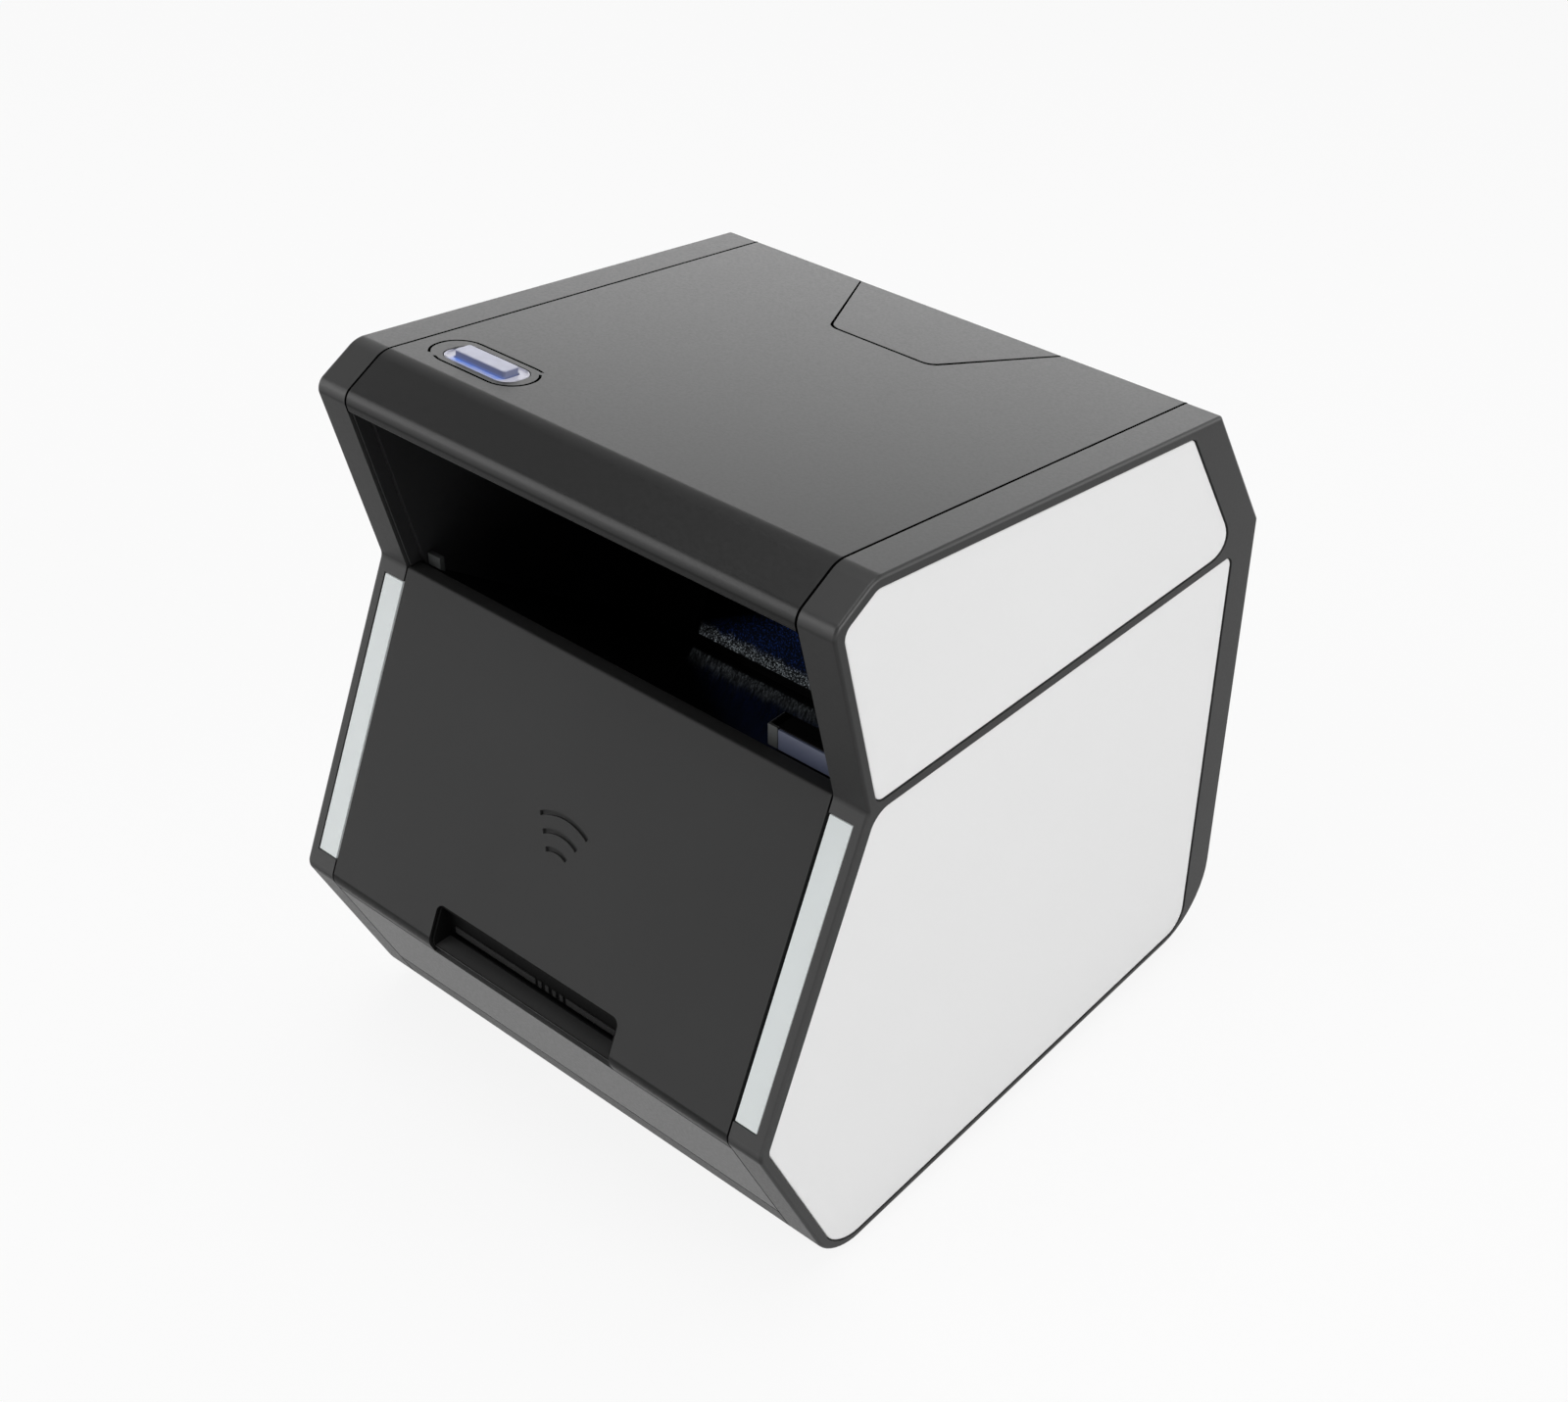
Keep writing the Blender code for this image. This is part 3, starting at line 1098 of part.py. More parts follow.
BOARD_GREEN = finish("circuit_board", "1f5a34", 0.5)
GEAR_PLASTIC = finish("gear_plastic", "e8e4d8", 0.45)
STEEL = finish("steel", "b4b6b8", 0.35, 1.0)
ALUMINIUM = finish("aluminium", "c4c6c8", 0.4, 1.0)
BRASS = finish("brass", "c9a24b", 0.35, 1.0)
RUBBER = finish("rubber", "1e1e1e", 0.8)
PAPER = finish("paper", "f2f1ec", 0.8)
CARDBOARD = finish("cardboard", "a98a63", 0.85)

for side_name, side_sign in (("left", -1), ("right", 1)):
    light_strip(side_name, side_sign, side_frame(side_name, side_sign))
top_cover()
power_button()
front_panel()
outlet_chute()
plinth_panel()
base_tray()
rear_cover()
paper_door()
bay_liner()
bay_fittings()
chassis()
drive()
print_head()
cutter()
paper_supply()
electronics()
feet_and_screws()
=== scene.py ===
"""Receipt printer with a hooded document bay: the visual model, built over its CAD frame."""

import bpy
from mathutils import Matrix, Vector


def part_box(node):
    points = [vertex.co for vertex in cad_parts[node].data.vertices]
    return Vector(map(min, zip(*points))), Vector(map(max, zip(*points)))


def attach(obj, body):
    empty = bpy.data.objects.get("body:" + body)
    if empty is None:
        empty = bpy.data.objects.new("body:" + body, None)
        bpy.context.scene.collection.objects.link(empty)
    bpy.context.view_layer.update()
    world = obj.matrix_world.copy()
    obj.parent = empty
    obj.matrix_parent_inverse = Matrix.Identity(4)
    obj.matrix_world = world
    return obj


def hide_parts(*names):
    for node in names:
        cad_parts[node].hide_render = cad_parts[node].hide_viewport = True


bl_info = {
    "name": "Receipt Printer",
    "version": (1, 0, 0),
    "blender": (4, 5, 0),
    "location": "View3D > Sidebar > Printer",
    "description": "Builds a receipt printer with a hooded document bay",
    "category": "Add Mesh",
}

from functools import partial
from math import atan2, pi, radians, tan

import bmesh
import bpy
from bpy.props import FloatProperty, FloatVectorProperty, PointerProperty
from mathutils import Matrix, Vector

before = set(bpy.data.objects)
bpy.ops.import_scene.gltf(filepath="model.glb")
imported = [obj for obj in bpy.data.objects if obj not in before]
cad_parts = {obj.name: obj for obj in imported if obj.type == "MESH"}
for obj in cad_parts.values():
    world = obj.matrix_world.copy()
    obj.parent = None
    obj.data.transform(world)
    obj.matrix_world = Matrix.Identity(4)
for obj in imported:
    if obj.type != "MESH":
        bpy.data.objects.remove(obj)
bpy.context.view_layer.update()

# The side view looks along X. Its zero lies by the plinth foot, the frame's on the ground under the case centre
DEPTH_SHIFT = 0.073807
FOOT_LIFT = 0.0071
REAR_FACE = 0.1704
LEVEL = Vector((1, 0))
RISE = Vector((0, 1))


def side(depth, height):
    """Return a side view point from its depth behind the plinth foot and its height over it."""
    return Vector((depth - DEPTH_SHIFT, height + FOOT_LIFT))


# The case's side view, from the foot of the front to the rear and back over the top
BASE_FRONT = side(0.002934, -0.0064)
BASE_REAR = side(REAR_FACE, -0.0017)
SHOULDER = side(REAR_FACE, 0.1322)
TOP_REAR = side(0.1453, 0.1722)
HOOD = side(0.0134, 0.1904)
NOSE = side(0, 0.1833)
NOTCH = side(0.0131, 0.1299)
PANEL_FOOT = side(-0.0232, 0.0506)
CASE = [BASE_FRONT, BASE_REAR, SHOULDER, TOP_REAR, HOOD, NOSE, NOTCH, PANEL_FOOT]
BASE_RADII = [0.0159, 0.020]
FOLD_RADIUS = 0.001
HOOD_RADIUS = 0.007
NOSE_RADIUS = 0.0036
NOTCH_RADIUS = 0.003
FOOT_RADIUS = 0.004
CASE_RADII = [*BASE_RADII, FOLD_RADIUS, FOLD_RADIUS, HOOD_RADIUS, NOSE_RADIUS, NOTCH_RADIUS, FOOT_RADIUS]
TOP_LENGTH = (TOP_REAR - HOOD).length
PANEL_LENGTH = (NOTCH - PANEL_FOOT).length

# The document bay's side view, its window, the thin cheeks beside its mouth, and what stands on its glass
GLASS_FRONT = side(0.01769, 0.1291)
GLASS_REAR = side(0.095, 0.0744)
BAY_TOP = side(0.1282, 0.1636)
BAY_BROW = side(0.0052, 0.1805)
WINDOW_HALF = 0.049
WINDOW_TOP = 0.0305
CHEEK_INNER = 0.0691
CHEEK_OUTER = 0.0697
CHEEK_SINK = 0.0008
CHEEK_TOP = 0.0057
GLASS_LIFT = 0.0006

# The signs of the sides, and half widths
SIDES = {"left": -1, "right": 1}
HALF_WIDTH = 0.080
INNER = 0.070
COVER_HALF = 0.0695
TOP_HALF = 0.06935
DOOR_HALF = 0.0324
TONGUE_HALF = 0.0157

# Walls, gaps, how far a cutter reaches past a face, and steps in a rounding
SHELL = 0.0025
PANEL_WALL = 0.0039
RIM_WALL = 0.003
RIM_FACE = 0.004
GAP = 0.0003
MITRE_GAP = 0.00018
CLEAR = 0.004
CASE_STEPS = 10
DETAIL_STEPS = 8
SHARP_ANGLE = radians(40)

# Inlays and light strips in the side frames: margins to the case edges, the rib and depths
INLAY_MARGINS = (0.002, 0.0108, 0.0108, 0.003, 0.003, 0.003, 0.003, 0.003)
INLAY_BACK = 0.0015
RIB_REAR = 0.1269
RIB_HALF = 0.00135
STRIP_WIDTH = 0.0068
STRIP_START = 0.0057
STRIP_END = 0.0043

# Top cover, door tongue, the black strips of painted shade in its gaps, and the button's pieces by length, width
# and corner radius
LIP_LENGTH = 0.0048
TONGUE_LENGTH = 0.0326
TONGUE_GAP = 0.0006
TONGUE_SHIFT = 0.0002
SHADOW_STRIP_DROP = 0.00002
SHADOW_STRIP_FOOT = 0.0015
SEAM_DEPTH = 0.0018
BUTTON_PLACE = Vector((-0.0489, 0.0136))
BUTTON_HOLE = (0.024, 0.0103, 0.004)
BEZEL = (0.0235, 0.0098, 0.0038)
DISH = (0.0229, 0.0092, 0.0035)
BEZEL_SLOT = (0.0176, 0.0055, 0.0009)
BUTTON_BAR = (0.017, 0.0049, 0.0007)
BAR_TOP = 0.0015
DISH_DEPTH = 0.00035
GROOVE_WIDTH = 0.0142
GROOVE_RADIUS = 0.0068
GROOVE_DEPTH = 0.0016
GROOVE_TURN = 0.46
# The groove's halves by length, and where each starts and ends beside the turned line through the button
GROOVE_HALVES = ((0.0327, 0.0007, 0.02), (0.0295, -0.02, -0.0007))

# Front panel and base, measured down the undercut from the panel's foot, and the engraved mark
PANEL_WRAP = 0.0046
PLINTH_TOP = 0.0049
PLINTH_FOOT = 0.0434
TRAY_FRONT = 0.044
TRAY_TOP = 0.019
MARK_RADII = (0.0157, 0.0112, 0.0068)
MARK_HALF_ANGLE = 0.54
MARK_DROP = 0.0533
PAD_RADIUS = 0.006
FEET = {f"{across}_{along}": (sign * 0.056, side(depth, 0).x)
        for across, sign in SIDES.items() for along, depth in (("front", 0.022), ("rear", 0.148))}

# Paper outlet
OUTLET_LEFT = -0.0319
OUTLET_RIGHT = 0.0312
OUTLET_TOP = 0.011
OUTLET_SINK = 0.0008
OUTLET_WALL = 0.0006
OUTLET_LINER = 0.0011
OUTLET_FLOOR = side(0, 0.0492).y
OUTLET_BACK = PANEL_FOOT.x + 0.0069

# Rear: the door's foot, the hinge, and the sockets by place across, width and height
DOOR_FOOT = 0.0417
HINGE = side(0.1684, 0.044)
BARREL_RADIUS = 0.002
PIN_RADIUS = 0.0012
SOCKET_FACE = side(0.1699, 0).x
SOCKET_FLOOR = 0.0224
SOCKET_DEPTH = 0.016
BORE_DEPTH = 0.012
SOCKETS = {"network_socket": (-0.050, 0.016, 0.0135), "data_socket": (-0.026, 0.0124, 0.0112),
           "power_socket": (0.050, 0.011, 0.011)}


def linear(colour):
    """Turn an sRGB hex colour into linear RGBA."""
    channels = [int(colour[k:k + 2], 16) / 255 for k in (0, 2, 4)]
    return tuple(c / 12.92 if c <= 0.04045 else ((c + 0.055) / 1.055) ** 2.4 for c in channels) + (1.0,)


def size(name, description, millimetres):
    """Return a length property with a default in millimetres."""
    return FloatProperty(name=name, description=description, default=millimetres / 1000,
                         unit="LENGTH", subtype="DISTANCE", precision=5)


def tint(name, description, colour):
    """Return a colour property with an sRGB hex default."""
    return FloatVectorProperty(name=name, description=description, default=linear(colour),
                               size=4, min=0.0, max=1.0, subtype="COLOR")


class PrinterSizes(bpy.types.PropertyGroup):
    """Sizes of the edges and details that a user may change."""
    rim_fillet: size("Rim Fillet", "Radius along the outer edge of the side frames", 1.5)
    edge: size("Edge", "Small radius on moulded edges", 0.07)
    rear_edge: size("Rear Edge", "Small radius on the rear cover and the door", 0.056)
    strip_edge: size("Strip Edge", "Small radius on the light strips", 0.049)
    bay_edge: size("Bay Edge", "Radius of the side frames beside the bay's mouth", 0.9)
    panel_edge: size("Panel Edge", "Radius along the top of the front panel", 1.0)
    inlay_edge: size("Inlay Edge", "Radius along the face of the inlay panels", 0.4)
    lip_edge: size("Lip Edge", "Radius under the hood lip", 0.8)
    mark_line: size("Mark Line", "Width of the engraved arcs", 1.2)
    mark_depth: size("Mark Depth", "Depth of the engraved arcs", 0.7)
    groove_line: size("Groove Line", "Width of the groove round the button", 0.7)
    recess_corner: size("Recess Corner", "Radius at the top corners of the outlet recess", 2.2)
    tongue_corner: size("Tongue Corner", "Radius at the front corners of the door tongue", 4.0)


class PrinterColours(bpy.types.PropertyGroup):
    """Colours of the finishes."""
    rim: tint("Rim", "Side frames and rear cover", "3a3a3a")
    top: tint("Top", "Top cover and paper door", "242424")
    panel: tint("Panel", "Front panel", "424242")
    # The outlet lining is darker than the plastic's own colour: painted shade in the outlet recess
    outlet: tint("Outlet", "Lining of the paper outlet", "101010")
    plinth: tint("Plinth", "Undercut panel below the front panel", "444444")
    skirt: tint("Skirt", "Base tray", "2c2c2c")
    inlay: tint("Inlay", "Side inlay panels", "e6e6e6")
    strip: tint("Strip", "Light strips", "d4d9d9")
    bay: tint("Bay", "Lining of the document bay", "2a2a2b")
    button: tint("Button", "Top of the power button bar", "c8cade")
    flank: tint("Flank", "Sides of the power button bar", "767b96")
    bezel: tint("Bezel", "Clear dish round the button", "d6d6e4")
    glow: tint("Glow", "Light at the button", "5f88e4")


# Shapes

def round_vertex(mesh, vertex, radius, segments=6):
    """Round one corner of a flat outline."""
    first, last = [edge.other_vert(vertex).co - vertex.co for edge in vertex.link_edges]
    bmesh.ops.bevel(mesh, geom=[vertex], offset=radius / tan(first.angle(last) / 2), offset_type="OFFSET",
                    segments=segments, profile=0.5, affect="VERTICES", material=-1, clamp_overlap=False)


def pull(mesh, way):
    """Draw every face of a flat start out into a solid."""
    grown = bmesh.ops.extrude_face_region(mesh, geom=mesh.faces[:])
    moved = [item for item in grown["geom"] if isinstance(item, bmesh.types.BMVert)]
    bmesh.ops.translate(mesh, verts=moved, vec=way)
    bmesh.ops.recalc_face_normals(mesh, faces=mesh.faces[:])


def move(mesh, way):
    """Move a whole mesh."""
    bmesh.ops.translate(mesh, verts=mesh.verts, vec=way)


def turn(mesh, angle, axis, centre=(0, 0, 0)):
    """Turn a whole mesh about an axis through a point."""
    bmesh.ops.rotate(mesh, verts=mesh.verts, cent=centre, matrix=Matrix.Rotation(angle, 3, axis))


def soften(mesh, chosen, radius, segments=2):
    """Round the edges for which the test holds."""
    edges = [edge for edge in mesh.edges if chosen(edge)]
    bmesh.ops.bevel(mesh, geom=edges, offset=radius, offset_type="OFFSET", segments=segments,
                    profile=0.5, affect="EDGES", material=-1, clamp_overlap=True)


def at_x(x):
    """Return a test for edges that lie in one plane across the case."""
    return lambda edge: all(abs(v.co.x - x) < 1e-6 for v in edge.verts)


def sharp(edge):
    """Tell whether an edge turns by more than thirty degrees."""
    return len(edge.link_faces) == 2 and edge.calc_face_angle(0) > radians(30)


def solid(places, radii, way, segments=6):
    """Carry a flat outline along a way, its first corners rounded by the radii given."""
    mesh = bmesh.new()
    points = [mesh.verts.new(place) for place in places]
    mesh.faces.new(points)
    for vertex, radius in zip(points, radii):
        if radius > 0:
            round_vertex(mesh, vertex, radius, segments)
    pull(mesh, way)
    return mesh


def prism(corners, radii, left, right, segments=6):
    """Carry a side view outline along X."""
    return solid([(left, *corner) for corner in corners], radii, (right - left, 0, 0), segments)


def slab(left, right, near, far, low, high, corner=0.0, corners=None, segments=6):
    """Return a plate in a face's own frame: X across, Y along the face, Z out of it, with rounded corners."""
    mesh = bmesh.new()
    bmesh.ops.create_grid(mesh, x_segments=1, y_segments=1, size=0.5)
    bmesh.ops.scale(mesh, vec=(right - left, far - near, 1), verts=mesh.verts)
    move(mesh, ((left + right) / 2, (near + far) / 2, low))
    if corner > 0:
        for vertex in mesh.verts[:]:
            if corners is None or corners(vertex.co):
                round_vertex(mesh, vertex, corner, segments)
    pull(mesh, (0, 0, high - low))
    return mesh


def block(low, high, edge=0.0, segments=2):
    """Return a box between two corners, with its edges rounded."""
    mesh = bmesh.new()
    bmesh.ops.create_cube(mesh, size=1.0)
    bmesh.ops.scale(mesh, vec=[b - a for a, b in zip(low, high)], verts=mesh.verts)
    move(mesh, [(a + b) / 2 for a, b in zip(low, high)])
    if edge > 0:
        soften(mesh, sharp, edge, segments)
    return mesh


def rod(centre, radius, left, right, segments=32):
    """Return a round bar along X."""
    mesh = bmesh.new()
    bmesh.ops.create_circle(mesh, cap_ends=True, segments=segments, radius=radius)
    turn(mesh, pi / 2, "Y")
    move(mesh, (left, *centre))
    pull(mesh, (right - left, 0, 0))
    return mesh


def face_frame(start, end):
    """Return the frame of a case face: X across, Y from start to end, Z out of the face."""
    along = Vector((0, *(end - start).normalized()))
    across = Vector((1, 0, 0))
    axes = Matrix((across, along, across.cross(along))).transposed().to_4x4()
    return Matrix.Translation((0, *start)) @ axes


TOP_FACE = face_frame(HOOD, TOP_REAR)
PANEL_FACE = face_frame(PANEL_FOOT, NOTCH)


def toward(start, end, distance):
    """Return the point at a distance from start in the direction of end."""
    return start + (end - start).normalized() * distance


def inward(start, end):
    """Return the unit vector to the left of an edge, which is the inside of a case edge."""
    run = (end - start).normalized()
    return Vector((-run.y, run.x))


def meet(a, b, c, d):
    """Return the crossing point of two lines."""
    run, other = b - a, d - c
    share = (other.y * (c.x - a.x) - other.x * (c.y - a.y)) / (run.x * other.y - run.y * other.x)
    return a + run * share


def inset(corners, *margins):
    """Move each edge of a closed outline inwards, all by one margin or each by its own."""
    count = len(corners)
    edges = []
    for i in range(count):
        ends = (corners[i], corners[(i + 1) % count])
        shift = inward(*ends) * margins[i % len(margins)]
        edges.append([end + shift for end in ends])
    return [meet(*edges[i - 1], *edges[i]) for i in range(count)]


def make_object(name, mesh):
    """Turn a bmesh into an object in the scene."""
    data = bpy.data.meshes.new(name)
    mesh.to_mesh(data)
    mesh.free()
    item = bpy.data.objects.new(name, data)
    bpy.context.scene.collection.objects.link(item)
    return item


def settle(name, mesh, finish, nodes=(), body="case", edge=0.0):
    """Turn a bmesh into a piece that rides on a body and stands for its CAD nodes, and round its sharp edges."""
    piece = make_object(name, mesh)
    piece.data.materials.append(FINISHES[finish])
    piece.data.shade_smooth()
    piece.data.set_sharp_from_angle(angle=SHARP_ANGLE)
    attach(piece, body)
    if nodes:
        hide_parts(*nodes)
    if edge > 0:
        bevel = piece.modifiers.new("edges", "BEVEL")
        bevel.width = edge
        bevel.segments = 2
        bevel.limit_method = "ANGLE"
        bevel.angle_limit = SHARP_ANGLE
        bevel.miter_outer = "MITER_ARC"
    # Weighted by face size, so that broad faces shade flat
    normals = piece.modifiers.new("normals", "WEIGHTED_NORMAL")
    normals.mode = "FACE_AREA_WITH_ANGLE"
    normals.weight = 90
    normals.keep_sharp = True


def carve(mesh, cutters, operation="DIFFERENCE"):
    """Return a mesh with the cutters' volumes taken out of it, kept or added."""
    start = make_object("scratch", mesh)
    tools = [make_object("scratch", cutter) for cutter in cutters]
    for tool in tools:
        change = start.modifiers.new("cut", "BOOLEAN")
        change.operation = operation
        change.solver = "EXACT"
        change.object = tool
    bpy.context.view_layer.update()
    shaped = start.evaluated_get(bpy.context.evaluated_depsgraph_get())
    result = bmesh.new()
    result.from_mesh(shaped.to_mesh())
    shaped.to_mesh_clear()
    for item in [start, *tools]:
        bpy.data.objects.remove(item, do_unlink=True)
    bmesh.ops.remove_doubles(result, verts=result.verts, dist=1e-6)
    bmesh.ops.dissolve_degenerate(result, edges=result.edges, dist=1e-6)
    return result


# Finishes

FINISHES = {}
# Settings that a kind of node has where no others are given
USUAL = {"Mix": {"data_type": "RGBA"}, "Math": {"operation": "MULTIPLY"}}


def add_node(tree, kind, sockets=(), **settings):
    """Add a node with its settings, and fill its sockets."""
    node = tree.nodes.new("ShaderNode" + kind)
    for key, value in {**USUAL.get(kind, {}), **settings}.items():
        setattr(node, key, value)
    fill(node, sockets)
    return node


def fill(node, sockets):
    """Set a node's sockets, by name or in order, or link them to a socket or to a node's first output in use."""
    for key, value in sockets.items() if isinstance(sockets, dict) else enumerate(sockets):
        if isinstance(value, bpy.types.Node):
            value = next(output for output in value.outputs if output.enabled)
        if isinstance(value, bpy.types.NodeSocket):
            node.id_data.links.new(value, node.inputs[key])
        else:
            node.inputs[key].default_value = value


def start_finish(name):
    """Return a new material, the function that adds its nodes, its shader and its Object coordinates."""
    material = bpy.data.materials.new(name)
    material.use_nodes = True
    add = partial(add_node, material.node_tree)
    return material, add, material.node_tree.nodes["Principled BSDF"], add("TexCoord").outputs["Object"]


def per_metre(millimetres):
    """Return the noise scale of a pattern of that size."""
    return 1000.0 / millimetres


def tone(colour, share):
    """Return a lighter or darker tone of a colour."""
    return tuple(min(1.0, c * share) for c in colour[:3]) + (1.0,)


def moulded_plastic(name, colour, rough, level, grain, relief, drift=0.08, edge_highlight_and_wear=0.0, under=None, turned=1.0):
    """Moulded ABS: a spark-eroded grain breaks the gloss and the colour drifts.

    Rounded edges are painted paler by the edge share: a painted highlight along the fillets, which also stands
    for light rubbing wear. Faces that look down have the specular level under, and faces that turn away from the
    front panel's slant have the share turned of the colour: painted shade on the ledge under the hood and the
    outlet recess walls, and a painted dark reflection on the panel's rolled foot.
    """
    material, add, shader, coords = start_finish(name)
    broad = add("TexNoise", {"Vector": coords, "Scale": per_metre(60), "Detail": 2.0})
    fine = add("TexNoise", {"Vector": coords, "Scale": per_metre(grain), "Detail": 3.0, "Roughness": 0.6})
    speck = add("TexVoronoi", {"Vector": coords, "Scale": per_metre(grain * 1.4)})
    pits = add("Math", (fine, speck))
    shade = add("Mix", {0: broad, 6: tone(colour, 1 - drift), 7: tone(colour, 1 + drift)})
    # Painted highlight on the rounded edges, which also stands for light rubbing wear: edges found by the Bevel
    # node are made paler
    if edge_highlight_and_wear > 0:
        rounded = add("Bevel", {"Radius": 0.0008}, samples=4)
        plain = add("NewGeometry").outputs["Normal"]
        bent = add("VectorMath", (rounded, plain), operation="DOT_PRODUCT")
        edge_highlight_and_wear_mask = add("MapRange", (bent, 1.0, 0.8, 0.0, edge_highlight_and_wear))
        patchy = add("Math", (edge_highlight_and_wear_mask, broad))
        pale = tuple(min(1.0, c * 2.2 + 0.02) for c in colour[:3]) + (1.0,)
        shade = add("Mix", {0: patchy, 6: shade, 7: pale})
    # Painted shade on the ledge under the hood and the outlet recess walls, and a painted dark reflection on the
    # rolled foot: the colour is darkened where faces turn from the panel's slant
    if turned < 1:
        way = add("SeparateXYZ", (add("TexCoord").outputs["Normal"],)).outputs["Z"]
        below = add("MapRange", (way, 0.25, 0.405))
        above = add("MapRange", (way, 0.75, 0.95, 1.0, 0.4))
        painted_shade_mask = add("Math", (below, above))
        shade = add("Mix", {0: painted_shade_mask, 6: tone(colour, turned), 7: shade})
    gloss = add("MapRange", (fine, 0.3, 0.7, rough - 0.05, rough + 0.05))
    bump = add("Bump", {"Height": pits, "Strength": relief, "Distance": 0.0003})
    fill(shader, {"Base Color": shade, "Roughness": gloss, "Normal": bump, "Specular IOR Level": level})
    if under is not None:
        way = add("SeparateXYZ", (add("TexCoord").outputs["Normal"],)).outputs["Z"]
        fill(shader, {"Specular IOR Level": add("MapRange", (way, 0.0, 0.35, under, level))})
    return material


def frosted_plastic(name, colour, rough, glow, strength):
    """Frosted acrylic diffuser: milky and lit from within, with a soft sheen and faint cloudiness."""
    material, add, shader, coords = start_finish(name)
    cloud = add("TexNoise", {"Vector": coords, "Scale": per_metre(9), "Detail": 3.0})
    grit = add("TexNoise", {"Vector": coords, "Scale": per_metre(0.5), "Detail": 2.0})
    shade = add("Mix", {0: cloud, 6: tone(colour, 0.94), 7: colour})
    gloss = add("MapRange", (grit, 0.0, 1.0, rough - 0.06, rough + 0.06))
    bump = add("Bump", {"Height": grit, "Strength": 0.03, "Distance": 0.0002})
    fill(shader, {"Base Color": shade, "Roughness": gloss, "Normal": bump, "Subsurface Weight": 0.15,
                  "Subsurface Radius": (0.001, 0.001, 0.0012), "Emission Color": glow,
                  "Emission Strength": strength})
    return material


def dark_glass(name, colour):
    """Tinted float glass over a black cavity: near black, polished, with faint handling smears."""
    material, add, shader, coords = start_finish(name)
    smear = add("TexNoise", {"Vector": coords, "Scale": per_metre(25), "Detail": 4.0, "Distortion": 1.5})
    shade = add("Mix", {0: smear, 6: colour, 7: tone(colour, 1.4)})
    gloss = add("MapRange", (smear, 0.0, 1.0, 0.04, 0.12))
    fill(shader, {"Base Color": shade, "Roughness": gloss, "Specular IOR Level": 0.04})
    return material


def lit_window(name):
    """Dim acrylic with a grainy print: a pale speckled band below, sparse blue specks that fade out above."""
    material, add, shader, coords = start_finish(name)
    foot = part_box("scan_window")[0][2]
    cell = add("VectorMath", (coords, (0.0003, 0.0003, 0.0003)), operation="SNAP")
    grain = add("TexWhiteNoise", {"Vector": cell}, noise_dimensions="3D")
    place = add("SeparateXYZ", (coords,)).outputs
    wander = add("TexNoise", {"Vector": coords, "Scale": per_metre(4), "Detail": 2.0})
    edge = add("Math", (wander, 0.004, place["Z"]), operation="MULTIPLY_ADD")
    band = add("MapRange", (edge, foot + 0.0045, foot + 0.0065, 1.0, 0.0))
    pale = add("Math", (grain, 5.0), operation="POWER")
    sparse = add("Math", (grain, 6.0), operation="POWER")
    grey = add("Mix", {0: pale, 6: linear("0a0b0c"), 7: linear("70767a")})
    blue = add("Mix", {0: sparse, 6: linear("05070d"), 7: linear("10204a")})
    both = add("Mix", {0: band, 6: blue, 7: grey})
    slant = add("Math", (place["Z"], -2.0, place["X"]), operation="MULTIPLY_ADD")
    fade = add("MapRange", (slant, -0.057 - 2 * foot, -0.043 - 2 * foot, 0.0, 0.9))
    fill(shader, {"Base Color": linear("06080c"), "Roughness": 0.25, "Emission Color": both,
                  "Emission Strength": fade})
    return material


def lit_button(name, colour, flank, glow):
    """Milky acrylic bar over a blue lamp: pale on top, dusky blue down its flanks, bright at its foot."""
    material, add, shader, coords = start_finish(name)
    place = button_coords(add, coords)
    cloud = add("TexNoise", {"Vector": coords, "Scale": per_metre(3), "Detail": 3.0})
    top = add("Mix", {0: cloud, 6: tone(colour, 0.75), 7: colour})
    crown = add("MapRange", (place["Z"], 0.00118, 0.0013))
    shade = add("Mix", {0: crown, 6: flank, 7: top})
    foot = add("MapRange", (place["Z"], -0.0005, 0.0002, 0.3, 0.0))
    front = add("MapRange", (place["Y"], -0.0023, -0.0018, 1.0, 0.25))
    lit = add("Math", (foot, front))
    fill(shader, {"Base Color": shade, "Roughness": 0.35, "Emission Color": glow, "Emission Strength": lit})
    return material


def lit_bezel(name, colour, glow):
    """Clear acrylic dish, pale at both ends, with the lamp's blue light along the front of the bar."""
    material, add, shader, coords = start_finish(name)
    place = button_coords(add, coords)
    cloud = add("TexNoise", {"Vector": coords, "Scale": per_metre(4), "Detail": 3.0})
    shifted = add("Math", (place["Y"], 0.0028), operation="ADD")
    off = add("Math", (shifted,), operation="ABSOLUTE")
    near = add("MapRange", (off, 0.0002, 0.003, 1.0, 0.0))
    past = add("Math", (place["X"],), operation="ABSOLUTE")
    ends = add("MapRange", (past, 0.0072, 0.0092, 1.0, 0.0))
    patchy = add("MapRange", (cloud, 0.3, 0.6, 0.55, 1.0))
    front = add("Math", (near, ends))
    lit = add("Math", (front, patchy))
    shade = add("Mix", {0: lit, 6: colour, 7: glow})
    strength = add("Math", (lit, 0.25))
    fill(shader, {"Base Color": shade, "Roughness": 0.25, "Emission Color": glow,
                  "Emission Strength": strength})
    return material


def button_coords(add, coords):
    """Return coordinates centred on the power button: X across, Y towards the rear, Z out of the top."""
    tilt = atan2(HOOD.y - TOP_REAR.y, TOP_REAR.x - HOOD.x)
    moved = add("VectorMath", (coords, TOP_FACE @ Vector((*BUTTON_PLACE, 0))), operation="SUBTRACT")
    turned = add("VectorRotate", {"Vector": moved, "Angle": tilt}, rotation_type="X_AXIS")
    return add("SeparateXYZ", (turned,)).outputs


